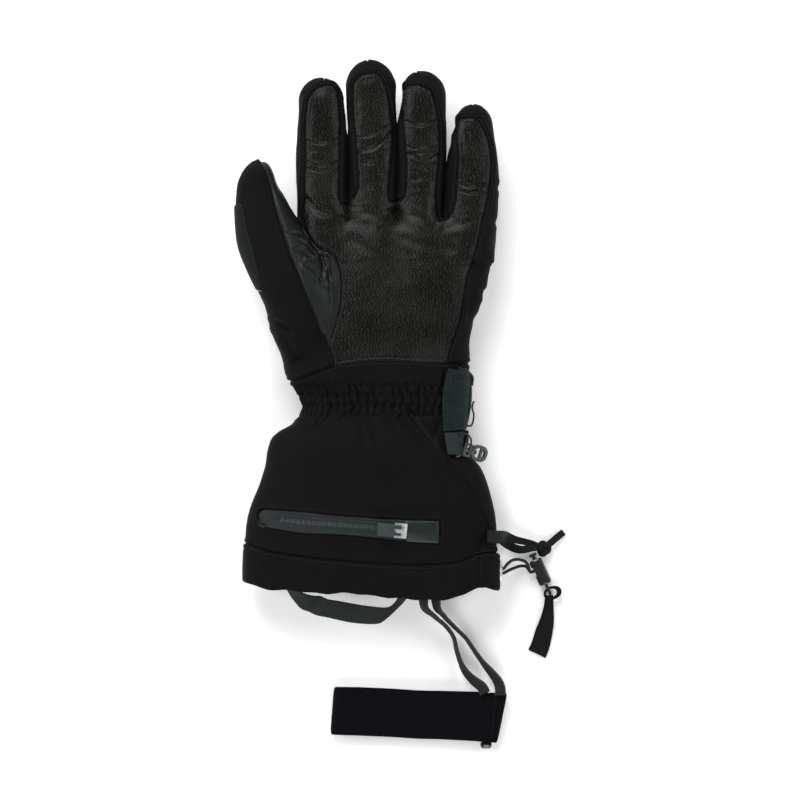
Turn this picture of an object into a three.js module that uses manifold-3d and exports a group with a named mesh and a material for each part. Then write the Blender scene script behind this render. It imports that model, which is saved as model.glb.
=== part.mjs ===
// Heated winter glove for the left hand, lying palm up on a flat surface.
// Millimetres. +X to the little finger's side, +Y to the fingertips, +Z up from the surface.
// Measures are taken from the middle of the palm on that surface; the finished part is moved so that
// its origin lies under the middle of the whole.
import * as THREE from "three";
import { mergeVertices } from "three/addons/utils/BufferGeometryUtils.js";
import Module from "manifold-3d";

// Main sizes
const handLength = 212; // wrist line to the tip of the middle finger
const cuffLength = 128.5; // wrist line to the lowest point of the hem
const palmWidth = 127;
const cuffWidth = 161.5;
const handDepth = 44; // back of the hand to the palm, stuffed
const cuffDepth = 46;
const fingerDepth = 27;
const thumbLength = 128;
const thumbWidth = 33;
const thumbDepth = 31;

// Walls and clearances
const handWall = 3.4; // outer cloth or leather, wadding and lining together
const cuffWall = 2.4;
const hemWall = 3.2;
const seamGap = 0.35; // between two pieces that are sewn or laid together
const fingerGap = 0.8;
const webRoom = 1; // from the index finger to the thumb's cloth beside it
const crotchOverlap = 2; // two fingers run into each other below their crotch

// Leather front
const leatherSplit = 0.66; // share of handDepth above which the leather lies
const thumbSplit = 0.78; // share of thumbDepth
const sideMargin = 4.8; // cloth that shows beside the leather on each finger
const tipMargin = 8.5;
const webRise = 9; // length over which a crotch opens to its full width
const stripFrom = 0.49; // share of handLength where the strips up the fingers start

// Cuff trim
const pleatCount = 26;
const pleatDepth = 1.5;
const hemProud = 0.9;
const sink = 0.8; // the cloth under the glove is pressed flat by this much
const ribbonThick = 1.1;
const loopRibbonWidth = 12;
const zipWidth = 13.5;
const zipTapeThick = 0.9;
const teethWidth = 4.2;
const teethHeight = 1.1;
const grommetRadius = 6.8;
const grommetHole = 3.9;
const grommetThick = 1.6;
const grommetWall = 0.7;
const cordDiameter = 2;

// Zip slider and its pull
const sliderLength = 8;
const sliderWide = 9.4;
const sliderPlate = 1.7;
const archLength = 6;
const archWide = 2.4;
const archThick = 0.9;
const pullWire = 1;
const pullRoom = 0.45; // round the pull's cross bar
const pullWidth = 6.4;
const pullReach = 14.5;
const gripLength = 10.5;
const gripWidth = 8.2;
const gripThick = 1.9;

// Thumb strip and wrist strap
const wiperThick = 0.8;
const wiperLow = 0.35;
const strapThick = 1.4;

// Cord lock
const lockLength = 17;
const lockWidth = 8.5;
const lockDepth = 7;
const channelWidth = 2.7;
const channelHigh = 5.4;
const windowFrom = 4.3; // below the lock's top end
const windowTo = 10;
const stemRadius = 1.3;
const stemInside = 1.6;
const headWidth = 4.8;
const headThick = 1.8;
const headDepth = 3.1;
const buttonTravel = 2;
const tabThick = 2.2;
const pullDrop = 2.6; // from the lock's foot to the pull's ring
const ringHalfWide = 5.3;
const ringHalfHigh = 4.2;
const ringRim = 1.7;

// Ribbons and their knot beside the lock
const upperRibbonWidth = 6.4;
const lowerRibbonWidth = 5.6;
const sideRibbonThick = 0.7;
const tailWidth = 4.4;
const knotRadius = 2.7;
const knotTube = 1.3;
const knotHeight = 3.4;

// Wrist hook
const hookLength = 11.6;
const hookWide = 10.6;
const hookRim = 2;
const hookThick = 2.4;
const gateWide = 1.6;
const eyeLength = 8.6;
const eyeWide = 4.8;
const eyeRim = 1.3;
const pinRadius = 0.9;
const hookCordDiameter = 1.2;
const barDiameter = 1.2;
const runningGap = 0.3; // round every moving piece

// Leash
const leashStrapWidth = 7;
const leashStrapThick = 1.3;
const bandLength = 108;
const bandWidth = 30.5;
const bandThick = 1.7;
const bandOpening = 5.6; // inside the lying loop
const toggleLength = 7.4;
const toggleWidth = 4.4;
const toggleInset = 9.7; // from the band's right end to the toggle's middle

const wristY = -0.37 * handLength;
const cuffCentreX = -0.137 * palmWidth;

// Each section of the hand: at is a share of handLength above the wrist line, left and right are
// shares of palmWidth from the middle, bottom and top are shares of handDepth.
const handRows = [
  { at: -0.03, left: -0.49, right: 0.35, bottom: 0.08, top: 0.9 },
  { at: 0.057, left: -0.553, right: 0.354, bottom: 0.04, top: 0.94 },
  { at: 0.146, left: -0.583, right: 0.359, bottom: 0, top: 0.98 },
  { at: 0.206, left: -0.575, right: 0.374, bottom: 0, top: 1 },
  { at: 0.281, left: -0.545, right: 0.419, bottom: 0, top: 1 },
  { at: 0.37, left: -0.505, right: 0.459, bottom: 0, top: 0.99 },
  { at: 0.44, left: -0.5, right: 0.476, bottom: 0.02, top: 0.955 },
  { at: 0.485, left: -0.498, right: 0.484, bottom: 0.09, top: 0.9 },
  { at: 0.515, left: -0.49, right: 0.484, bottom: 0.2, top: 0.8 },
];

// Each section of the cuff: at is a share of cuffLength below the wrist line, left and right are
// shares of cuffWidth from the cuff's middle, bottom and top are shares of cuffDepth.
const cuffRows = [
  { at: -0.2, left: -0.36, right: 0.384, bottom: 0.03, top: 0.93 },
  { at: -0.09, left: -0.329, right: 0.385, bottom: 0.05, top: 0.9 },
  { at: 0.044, left: -0.271, right: 0.38, bottom: 0.08, top: 0.86 },
  { at: 0.133, left: -0.302, right: 0.3745, bottom: 0.07, top: 0.88 },
  { at: 0.177, left: -0.359, right: 0.372, bottom: 0.05, top: 0.91 },
  { at: 0.21, left: -0.388, right: 0.371, bottom: 0.03, top: 0.94 },
  { at: 0.276, left: -0.406, right: 0.378, bottom: 0.01, top: 0.98 },
  { at: 0.36, left: -0.418, right: 0.429, bottom: 0, top: 1 },
  { at: 0.458, left: -0.445, right: 0.461, bottom: 0, top: 1 },
  { at: 0.557, left: -0.476, right: 0.482, bottom: 0, top: 1 },
  { at: 0.64, left: -0.49, right: 0.492, bottom: 0, top: 0.98 },
  { at: 0.724, left: -0.494, right: 0.498, bottom: 0, top: 0.95 },
  { at: 1.02, left: -0.498, right: 0.5, bottom: 0, top: 0.9 },
];

// The seam between hand and cuff, and the hem's two edges, across the cuff from side to side:
// across is a share of cuffWidth, the others are shares of cuffLength below the wrist line.
const edgeRows = [
  { across: -0.5, seam: -0.04, hemTop: 0.729, hemFoot: 0.901 },
  { across: -0.4, seam: -0.045, hemTop: 0.773, hemFoot: 0.946 },
  { across: -0.276, seam: -0.08, hemTop: 0.798, hemFoot: 0.956 },
  { across: -0.12, seam: -0.148, hemTop: 0.82, hemFoot: 0.966 },
  { across: 0.041, seam: -0.168, hemTop: 0.835, hemFoot: 0.978 },
  { across: 0.202, seam: -0.16, hemTop: 0.84, hemFoot: 1 },
  { across: 0.347, seam: -0.155, hemTop: 0.825, hemFoot: 0.98 },
  { across: 0.42, seam: -0.155, hemTop: 0.788, hemFoot: 0.941 },
  { across: 0.5, seam: -0.155, hemTop: 0.778, hemFoot: 0.946 },
];

// Fingers: at is a share of handLength above the wrist line, left and right are shares of palmWidth.
const fingers = [
  {
    name: "index", tip: 0.949, crotchLeft: 0.3, crotchRight: 0.57, outer: 1,
    rows: [
      { at: 0.44, left: -0.4935, right: -0.247 },
      { at: 0.57, left: -0.502, right: -0.25 },
      { at: 0.728, left: -0.5135, right: -0.248 },
      { at: 0.878, left: -0.4985, right: -0.272 },
    ],
  },
  {
    name: "middle", tip: 1, crotchLeft: 0.57, crotchRight: 0.579, outer: 1,
    rows: [
      { at: 0.44, left: -0.247, right: -0.009 },
      { at: 0.575, left: -0.25, right: -0.008 },
      { at: 0.728, left: -0.248, right: -0.0075 },
      { at: 0.922, left: -0.264, right: -0.0125 },
    ],
  },
  {
    name: "ring", tip: 0.967, crotchLeft: 0.579, crotchRight: 0.519, outer: 1,
    rows: [
      { at: 0.44, left: -0.009, right: 0.222 },
      { at: 0.55, left: -0.008, right: 0.222 },
      { at: 0.728, left: -0.0075, right: 0.244 },
      { at: 0.8925, left: 0.01, right: 0.237 },
    ],
  },
  {
    name: "little", tip: 0.8687, crotchLeft: 0.519, crotchRight: 0.3, outer: 1.55,
    rows: [
      { at: 0.42, left: 0.222, right: 0.478 },
      { at: 0.52, left: 0.222, right: 0.493 },
      { at: 0.6836, left: 0.239, right: 0.5035 },
      { at: 0.803, left: 0.279, right: 0.4735 },
    ],
  },
];

// How a finger rises and thins along its length, from its root (0) to its shoulder (1) and tip (1.15).
const fingerCurl = [
  { along: 0, lift: 0.8, depth: 1.42 },
  { along: 0.16, lift: 0.83, depth: 1.26 },
  { along: 0.32, lift: 0.87, depth: 1.1 },
  { along: 0.65, lift: 0.95, depth: 1 },
  { along: 1, lift: 1.13, depth: 0.93 },
  { along: 1.2, lift: 1.25, depth: 0.9 },
];

// The thumb along its axis: along is a share of thumbLength, bend a share of thumbWidth to the left,
// width, depth and lift are shares of thumbWidth and thumbDepth.
const thumbRoot = { x: -0.42, y: 0.123 }; // shares of palmWidth and handLength
const thumbLean = 17; // degrees from +Y to the left
const thumbRows = [
  { along: 0, bend: 0.08, width: 0.9, depth: 0.95, lift: 0.8 },
  { along: 0.12, bend: 0, width: 1.3, depth: 1.25, lift: 0.88 },
  { along: 0.3, bend: -0.08, width: 1.42, depth: 1.36, lift: 0.95 },
  { along: 0.46, bend: 0.02, width: 1.42, depth: 1.28, lift: 0.97 },
  { along: 0.62, bend: 0.14, width: 1.27, depth: 1.12, lift: 0.96 },
  { along: 0.78, bend: 0.16, width: 0.98, depth: 0.97, lift: 0.93 },
  { along: 0.88, bend: 0.13, width: 0.78, depth: 0.88, lift: 0.9 },
  { along: 1, bend: 0, width: 0.7, depth: 0.8, lift: 0.88 },
];

// The edges of the palm leather, as shares of palmWidth, by share of handLength above the wrist.
const palmLeatherRows = [
  { at: 0.02, left: -0.334, right: 0.23 },
  { at: 0.0955, left: -0.334, right: 0.239 },
  { at: 0.143, left: -0.349, right: 0.257 },
  { at: 0.203, left: -0.329, right: 0.294 },
  { at: 0.266, left: -0.302, right: 0.314 },
  { at: 0.313, left: -0.294, right: 0.327 },
  { at: 0.364, left: -0.304, right: 0.349 },
  { at: 0.412, left: -0.344, right: 0.374 },
  { at: 0.466, left: -0.439, right: 0.396 },
  { at: 0.507, left: -0.465, right: 0.425 },
];

// The seam between the thumb's cloth and its leather.
const thumbSeamRows = [
  { at: 0.02, x: -0.334 },
  { at: 0.105, x: -0.344 },
  { at: 0.161, x: -0.369 },
  { at: 0.24, x: -0.429 },
  { at: 0.338, x: -0.5 },
  { at: 0.442, x: -0.563 },
  { at: 0.52, x: -0.603 },
  { at: 0.617, x: -0.633 },
  { at: 0.72, x: -0.68 },
];

// The front panel's right edge, as a share of cuffWidth, by share of cuffLength below the wrist.
const frontSeamRows = [
  { at: -0.3, x: 0.29 },
  { at: 0.04, x: 0.29 },
  { at: 0.177, x: 0.262 },
  { at: 0.286, x: 0.242 },
  { at: 0.357, x: 0.306 },
  { at: 0.428, x: 0.362 },
  { at: 0.498, x: 0.402 },
  { at: 0.6, x: 0.435 },
  { at: 0.66, x: 0.45 },
  { at: 0.78, x: 0.42 },
  { at: 0.9, x: 0.42 },
];

// The strip on the thumb's outer edge: its right side.
const wiperRows = [
  { at: 0.325, x: -0.69 },
  { at: 0.34, x: -0.684 },
  { at: 0.41, x: -0.708 },
  { at: 0.475, x: -0.735 },
  { at: 0.53, x: -0.762 },
  { at: 0.56, x: -0.78 },
];

// The zip's tape: across is a share of cuffWidth, top and foot are shares of cuffLength.
const zipRows = [
  { across: -0.435, top: 0.5617, foot: 0.6454 },
  { across: -0.272, top: 0.5765, foot: 0.68 },
  { across: -0.1137, top: 0.596, foot: 0.69 },
  { across: 0.0353, top: 0.6085, foot: 0.707 },
  { across: 0.145, top: 0.616, foot: 0.7243 },
  { across: 0.2705, top: 0.619, foot: 0.734 },
];
const teethFrom = -0.353; // shares of cuffWidth
const teethTo = 0.089;
const garageFrom = 0.151;
const garageTo = 0.2705;
const sliderAt = 0.1176;
const zipSlope = 5; // degrees

const strapOutline = [
  [0.301, -0.135], [0.341, -0.143], [0.388, -0.113], [0.404, -0.074], [0.396, -0.034], [0.394, 0.034],
  [0.374, 0.148], [0.283, 0.18], [0.274, 0.034], [0.286, -0.059],
];
const tabOutline = [[0.29, 0.187], [0.36, 0.163], [0.358, 0.29], [0.294, 0.296]];

const grommetPlace = { at: 0.872, height: 0.43 };

// Ribbons and straps: [share of cuffWidth, share of cuffLength below the wrist, share of cuffDepth]
const loopRoute = [
  [-0.315, 0.915, 0.775], [-0.316, 0.965, 0.74], [-0.3, 1.02, 0.66], [-0.25, 1.063, 0.58],
  [-0.113, 1.085, 0.5],
  [0.03, 1.106, 0.48], [0.08, 1.085, 0.54], [0.118, 1.035, 0.66], [0.134, 0.965, 0.8], [0.13, 0.915, 0.83],
];
const loopTurns = [0, 35, 45, 20, 20, 45, 35, 0];
const leftStrapRoute = [
  [0.2085, 0.95, 0.81], [0.2115, 1.0446, 0.6], [0.255, 1.096, 0.36], [0.298, 1.143, 0.2],
  [0.327, 1.197, 0.13],
  [0.337, 1.2515, 0.11], [0.351, 1.31, 0.1], [0.37, 1.36, 0.12], [0.4, 1.402, 0.17], [0.437, 1.44, 0.235],
  [0.45, 1.47, 0.232],
];
const rightStrapRoute = [
  [0.2555, 0.95, 0.81], [0.26, 1.0446, 0.6], [0.288, 1.09, 0.36], [0.335, 1.15, 0.2], [0.375, 1.2, 0.13],
  [0.413, 1.27, 0.11], [0.445, 1.325, 0.1], [0.475, 1.37, 0.12], [0.498, 1.41, 0.17], [0.508, 1.444, 0.235],
  [0.509, 1.48, 0.232],
];
const strapTurns = [0, 45, 72, 76, 76, 70, 40, 0];
const upperRibbonTurns = [0, 0, 0, 10, 20, 30];
const upperRibbonRoute = [
  [0.4587, 0.695, 0.85], [0.484, 0.696, 0.815], [0.5145, 0.696, 0.71], [0.527, 0.698, 0.5],
  [0.54, 0.703, 0.3],
  [0.564, 0.712, 0.18], [0.605, 0.726, 0.13], [0.634, 0.742, 0.12],
];
const lowerRibbonRoute = [
  [0.4587, 0.705, 0.795], [0.482, 0.707, 0.77], [0.505, 0.709, 0.65], [0.512, 0.712, 0.47],
  [0.522, 0.722, 0.28], [0.541, 0.74, 0.13], [0.567, 0.76, 0.06], [0.596, 0.785, 0.045],
];
const knotPlace = { across: 0.6795, at: 0.757 };
const tailRoute = [[0.705, 0.73, 0.07], [0.727, 0.706, 0.05], [0.757, 0.675, 0.03]];

// The cord lock's top end, and how it is turned from +Y to the left.
const lockPlace = { across: 0.6444, at: 0.8114 };
const lockTurn = 24.3;
// Each strand from the lock's side window to its channel, in mm across and up the lock.
const strandInLock = [[-5.6, -6.1], [-3, -6.3], [-0.7, -7.6], [0, -10]];

// The cord's strands from inside the hem to the lock.
const upperStrand = [
  [0.47, 0.862, 0.455], [0.5, 0.862, 0.457], [0.52, 0.856, 0.44], [0.535, 0.835, 0.37], [0.557, 0.814, 0.23],
  [0.5841, 0.8105, 0.14], [0.611, 0.826, 0.11],
];
const lowerStrand = [
  [0.47, 0.88, 0.405], [0.5, 0.88, 0.404], [0.52, 0.878, 0.385], [0.537, 0.867, 0.3], [0.564, 0.852, 0.17],
  [0.592, 0.842, 0.078], [0.611, 0.846, 0.058],
];

// The flat pull at the cord's end: wide is a share of its full width.
const pullTabRows = [
  { x: 0.7, at: 1.003, z: 0.081, wide: 0.45 },
  { x: 0.698, at: 1.045, z: 0.07, wide: 0.5 },
  { x: 0.692, at: 1.108, z: 0.054, wide: 0.76 },
  { x: 0.68, at: 1.168, z: 0.036, wide: 0.94 },
  { x: 0.6665, at: 1.232, z: 0.028, wide: 1 },
  { x: 0.652, at: 1.276, z: 0.028, wide: 1 },
];
const pullTabWidth = 11;

const hookPlace = { across: 0.3805, at: 0.271, height: 0.785 };
const hookTurn = 16.7; // degrees below +X
const hookTilt = 30; // degrees down towards its outer end
const hookCordRoute = [
  [0.343, 0.189, 0.8], [0.362, 0.187, 0.815], [0.385, 0.2, 0.83], [0.395, 0.228, 0.86], [0.389, 0.258, 0.84],
  [0.3805, 0.2685, 0.785], [0.376, 0.254, 0.725], [0.3775, 0.22, 0.7], [0.379, 0.195, 0.71],
];
const sideCordRoute = [
  [0.3785, 0.152, 0.58], [0.395, 0.15, 0.6], [0.405, 0.1, 0.6], [0.3985, 0.06, 0.6], [0.405, 0.03, 0.6],
];
const barRoute = [[0.336, 0.3045], [0.352, 0.2975]];
const bandPlace = { across: 0.183, at: 1.574, turn: 2.15 };

const wasm = await Module();
wasm.setup();

// Materials
const softshell = new THREE.MeshStandardMaterial({ color: 0x18171a, roughness: 0.9, metalness: 0 });
const leather = new THREE.MeshStandardMaterial({ color: 0x1d1e1c, roughness: 0.5, metalness: 0 });
const greyLeather = new THREE.MeshStandardMaterial({ color: 0x2c3436, roughness: 0.6, metalness: 0 });
const greyTape = new THREE.MeshStandardMaterial({ color: 0x2a3234, roughness: 0.6, metalness: 0 });
const webbing = new THREE.MeshStandardMaterial({ color: 0x1f2426, roughness: 0.85, metalness: 0 });
const elastic = new THREE.MeshStandardMaterial({ color: 0x121214, roughness: 0.95, metalness: 0 });
const greyPlastic = new THREE.MeshStandardMaterial({ color: 0x3c4548, roughness: 0.45, metalness: 0 });
const steel = new THREE.MeshStandardMaterial({ color: 0xc8cacc, roughness: 0.25, metalness: 1 });
const cord = new THREE.MeshStandardMaterial({ color: 0x1c1d1b, roughness: 0.8, metalness: 0 });

// Reading a table: a smooth curve through its rows, level at both ends.
function readTable(rows, key, name, at) {
  const last = rows.length - 1;
  if (at <= rows[0][key]) return rows[0][name];
  if (at >= rows[last][key]) return rows[last][name];
  let i = 0;
  while (rows[i + 1][key] < at) i++;
  const a = rows[Math.max(i - 1, 0)];
  const b = rows[i];
  const c = rows[i + 1];
  const d = rows[Math.min(i + 2, last)];
  const span = c[key] - b[key];
  const t = (at - b[key]) / span;
  const slopeB = ((c[name] - a[name]) / (c[key] - a[key])) * span;
  const slopeC = ((d[name] - b[name]) / (d[key] - b[key])) * span;
  const t2 = t * t;
  const t3 = t2 * t;
  return (2 * t3 - 3 * t2 + 1) * b[name] + (t3 - 2 * t2 + t) * slopeB
    + (3 * t2 - 2 * t3) * c[name] + (t3 - t2) * slopeC;
}

function smoothStep(low, high, value) {
  const t = THREE.MathUtils.clamp((value - low) / (high - low), 0, 1);
  return t * t * (3 - 2 * t);
}

const handY = (share) => wristY + share * handLength;
const cuffY = (share) => wristY - share * cuffLength;

// Solids and meshes
function toSolid(geometry) {
  const plain = geometry.index ? geometry.toNonIndexed() : geometry.clone();
  const bare = new THREE.BufferGeometry().setAttribute("position", plain.getAttribute("position"));
  const merged = mergeVertices(bare, 1e-4);
  return new wasm.Manifold(new wasm.Mesh({
    numProp: 3,
    vertProperties: merged.attributes.position.array,
    triVerts: new Uint32Array(merged.index.array),
  }));
}

function toGeometry(solid) {
  const mesh = solid.getMesh();
  const geometry = new THREE.BufferGeometry();
  const places = new Float32Array(mesh.numVert * 3);
  for (let i = 0; i < mesh.numVert; i++)
    for (let k = 0; k < 3; k++) places[3 * i + k] = mesh.vertProperties[i * mesh.numProp + k];
  geometry.setAttribute("position", new THREE.BufferAttribute(places, 3));
  geometry.setIndex(new THREE.BufferAttribute(mesh.triVerts, 1));
  return geometry;
}

// The largest body of a cut, without the crumbs that a cutter leaves.
function mainBody(solid) {
  return solid.decompose().reduce((best, body) => (body.volume() > best.volume() ? body : best));
}

// A geometry from quads between rings of equal count; the rings close round on themselves.
function ringsGeometry(rings, closedLoop) {
  const count = rings[0].length;
  const places = rings.flat().flatMap((p) => [p.x, p.y, p.z]);
  const faces = [];
  const bands = closedLoop ? rings.length : rings.length - 1;
  for (let r = 0; r < bands; r++) {
    const next = (r + 1) % rings.length;
    for (let i = 0; i < count; i++) {
      const j = (i + 1) % count;
      faces.push(r * count + i, r * count + j, next * count + j);
      faces.push(r * count + i, next * count + j, next * count + i);
    }
  }
  if (!closedLoop) {
    [0, rings.length - 1].forEach((r) => {
      const middle = new THREE.Vector3();
      rings[r].forEach((p) => middle.addScaledVector(p, 1 / count));
      const centre = places.length / 3;
      places.push(middle.x, middle.y, middle.z);
      for (let i = 0; i < count; i++) {
        const j = (i + 1) % count;
        if (r === 0) faces.push(centre, r * count + j, r * count + i);
        else faces.push(centre, r * count + i, r * count + j);
      }
    });
  }
  return outward(places, faces);
}

// Turns the faces of a closed mesh outward.
function outward(places, faces) {
  let volume = 0;
  const corner = (i) => new THREE.Vector3(places[3 * i], places[3 * i + 1], places[3 * i + 2]);
  for (let f = 0; f < faces.length; f += 3) {
    const [a, b, c] = [corner(faces[f]), corner(faces[f + 1]), corner(faces[f + 2])];
    volume += a.dot(b.cross(c));
  }
  if (volume < 0)
    for (let f = 0; f < faces.length; f += 3) [faces[f + 1], faces[f + 2]] = [faces[f + 2], faces[f + 1]];
  const geometry = new THREE.BufferGeometry();
  geometry.setAttribute("position", new THREE.BufferAttribute(new Float32Array(places), 3));
  geometry.setIndex(faces);
  return geometry;
}

// A wall between outer and inner rings, open at both ends.
const sleeve = (outer, inner) => ringsGeometry([...outer, ...[...inner].reverse()], true);

// A point on a soft oval: power 2 is an ellipse, higher is boxier.
function ovalPoint(angle, halfWidth, halfHeight, power) {
  const c = Math.cos(angle);
  const s = Math.sin(angle);
  return {
    x: halfWidth * Math.sign(c) * Math.abs(c) ** (2 / power),
    z: halfHeight * Math.sign(s) * Math.abs(s) ** (2 / power),
  };
}

// A vertical prism over a polygon in X and Y.
function prism(points, low, high) {
  const shape = new THREE.Shape(points.map((p) => new THREE.Vector2(p.x, p.y)));
  return toSolid(new THREE.ExtrudeGeometry(shape, { depth: high - low, bevelEnabled: false })
    .translate(0, 0, low));
}

// A flat strap along a route; each turn tips its width from lying flat towards standing on edge.
function strap(route, width, thick, steps, turns = [0]) {
  const curve = new THREE.CatmullRomCurve3(route.map((p) => new THREE.Vector3(...p)), false, "centripetal");
  const rings = [];
  for (let i = 0; i <= steps; i++) {
    const t = i / steps;
    const place = curve.getPointAt(t);
    const tangent = curve.getTangentAt(t);
    const side = new THREE.Vector3(0, 0, 1).cross(tangent).normalize();
    const slot = Math.min(Math.floor(t * (turns.length - 1)), turns.length - 2);
    const turn = turns.length < 2 ? turns[0]
      : THREE.MathUtils.lerp(turns[slot], turns[slot + 1], t * (turns.length - 1) - slot);
    side.applyAxisAngle(tangent, THREE.MathUtils.degToRad(turn));
    const up = tangent.clone().cross(side).normalize();
    rings.push([[1, 1], [-1, 1], [-1, -1], [1, -1]].map(([a, b]) => place.clone()
      .addScaledVector(side, (a * width) / 2).addScaledVector(up, (b * thick) / 2)));
  }
  return ringsGeometry(rings, false);
}

// A round cord along a route, closed or open.
function roundCord(route, diameter, steps, sides, closed = false) {
  const curve = new THREE.CatmullRomCurve3(route.map((p) => new THREE.Vector3(...p)), closed, "centripetal");
  const frames = curve.computeFrenetFrames(steps, closed);
  const rings = [];
  for (let i = 0; i < steps + (closed ? 0 : 1); i++) {
    const place = curve.getPointAt(i / steps);
    rings.push(Array.from({ length: sides }, (_, k) => {
      const angle = (2 * Math.PI * k) / sides;
      return place.clone().addScaledVector(frames.normals[i], (Math.cos(angle) * diameter) / 2)
        .addScaledVector(frames.binormals[i], (Math.sin(angle) * diameter) / 2);
    }));
  }
  return ringsGeometry(rings, closed);
}

const glove = new THREE.Group();

function addMesh(name, geometry, material, parent = glove) {
  const mesh = new THREE.Mesh(geometry, material);
  mesh.name = name;
  parent.add(mesh);
  return mesh;
}

// The trunk of the hand, at a height above the wrist.
function handSection(share, inset) {
  const read = (name) => readTable(handRows, "at", name, share);
  const left = read("left") * palmWidth + inset;
  const right = read("right") * palmWidth - inset;
  const low = read("bottom") * handDepth - sink + inset;
  const high = read("top") * handDepth - inset;
  return { x: (left + right) / 2, z: (low + high) / 2, w: (right - left) / 2, h: (high - low) / 2 };
}

function handTrunk(inset, sides, shares) {
  return toSolid(ringsGeometry(shares.map((share) => {
    const s = handSection(share, inset);
    return Array.from({ length: sides }, (_, i) => {
      const p = ovalPoint((2 * Math.PI * i) / sides, s.w, s.h, 2.7);
      return new THREE.Vector3(s.x + p.x, handY(share), s.z + p.z);
    });
  }), false));
}

// A finger's edges and height at a share of handLength.
function fingerSection(finger, share, inset) {
  const shoulder = finger.rows.at(-1).at;
  const root = finger.rows[0].at;
  const read = (name) => readTable(finger.rows, "at", name, share) * palmWidth;
  const along = (share - root) / (shoulder - root);
  const half = (crotch) => THREE.MathUtils.lerp(-crotchOverlap / 2, fingerGap / 2,
    smoothStep(crotch - 0.02, crotch, share));
  const left = read("left") + half(finger.crotchLeft) + inset;
  const right = read("right") - half(finger.crotchRight) - inset;
  const reach = (finger.tip - shoulder) * handLength - inset;
  const past = Math.max(share - shoulder, 0) * handLength;
  const round = Math.sqrt(Math.max(1 - (past / reach) ** 2, 0.0001));
  const middle = fingerDepth * readTable(fingerCurl, "along", "lift", along);
  const deep = fingerDepth * readTable(fingerCurl, "along", "depth", along) / 2 - inset;
  return { x: (left + right) / 2, z: middle, w: ((right - left) / 2) * round, h: deep * round };
}

function fingerBody(finger, inset, sides, steps) {
  const shoulder = finger.rows.at(-1).at;
  const root = finger.rows[0].at + (inset ? -0.03 : 0);
  const reach = finger.tip - shoulder - inset / handLength;
  const shares = [];
  for (let i = 0; i < steps; i++) shares.push(THREE.MathUtils.lerp(root, shoulder, i / steps));
  for (const share of [0, 0.55, 0.9]) shares.push(shoulder + reach * share);
  return toSolid(ringsGeometry(shares.map((share) => {
    const s = fingerSection(finger, share, inset);
    return Array.from({ length: sides }, (_, i) => {
      const p = ovalPoint((2 * Math.PI * i) / sides, s.w, s.h, 2.4);
      return new THREE.Vector3(s.x + p.x, handY(share), s.z + p.z);
    });
  }), false));
}

// The thumb leans out from its root.
const leanAngle = THREE.MathUtils.degToRad(thumbLean);
const thumbAlong = new THREE.Vector3(-Math.sin(leanAngle), Math.cos(leanAngle), 0);
const thumbAcross = new THREE.Vector3(Math.cos(leanAngle), Math.sin(leanAngle), 0);

function thumbPoint(along, side, z) {
  return new THREE.Vector3(thumbRoot.x * palmWidth, handY(thumbRoot.y), z)
    .addScaledVector(thumbAlong, along).addScaledVector(thumbAcross, side);
}

function thumbBody(inset, sides) {
  const shoulder = thumbRows.at(-2).along;
  const reach = (1 - shoulder) * thumbLength - inset;
  const stations = thumbRows.slice(0, -1).map((row) => row.along * thumbLength);
  for (const share of [0.45, 0.78, 0.95]) stations.push(shoulder * thumbLength + reach * share);
  return toSolid(ringsGeometry(stations.map((station) => {
    const share = station / thumbLength;
    const read = (name) => readTable(thumbRows, "along", name, share);
    const past = Math.max(station - shoulder * thumbLength, 0);
    const round = Math.sqrt(Math.max(1 - (past / reach) ** 2, 0.0001));
    const w = ((read("width") * thumbWidth) / 2 - inset) * round;
    const h = ((read("depth") * thumbDepth) / 2 - inset) * round;
    return Array.from({ length: sides }, (_, i) => {
      const p = ovalPoint((2 * Math.PI * (i + 0.5)) / sides, w, h, 2.3);
      return thumbPoint(station, p.x - read("bend") * thumbWidth, read("lift") * thumbDepth + p.z);
    });
  }), false));
}

const trunkShares = [-0.03, 0.06, 0.13, 0.206, 0.281, 0.37, 0.44, 0.485, 0.515];
const outerHand = fingers.reduce((sum, finger) => sum.add(fingerBody(finger, 0, 12, 4)),
  handTrunk(0, 24, trunkShares)).add(thumbBody(0, 14));
const innerShares = [-0.06, 0.08, 0.146, 0.206, 0.281, 0.37, 0.44, 0.49];
const innerHand = fingers.reduce((sum, finger) => sum.add(fingerBody(finger, handWall, 8, 2)),
  handTrunk(handWall, 20, innerShares)).add(thumbBody(handWall, 10));

// Where the cuff's seam and hem lines run, across the cuff.
const everywhere = 400; // past the glove on every side
const cuffX = (share) => cuffCentreX + share * cuffWidth;

function below(name, shift) {
  const line = edgeRows.map((row) => ({ x: cuffX(row.across), y: cuffY(row[name]) + shift }));
  return prism([{ x: -everywhere, y: line[0].y }, ...line, { x: everywhere, y: line.at(-1).y },
    { x: everywhere, y: -everywhere }, { x: -everywhere, y: -everywhere }], -20, 2 * handDepth);
}

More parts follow.
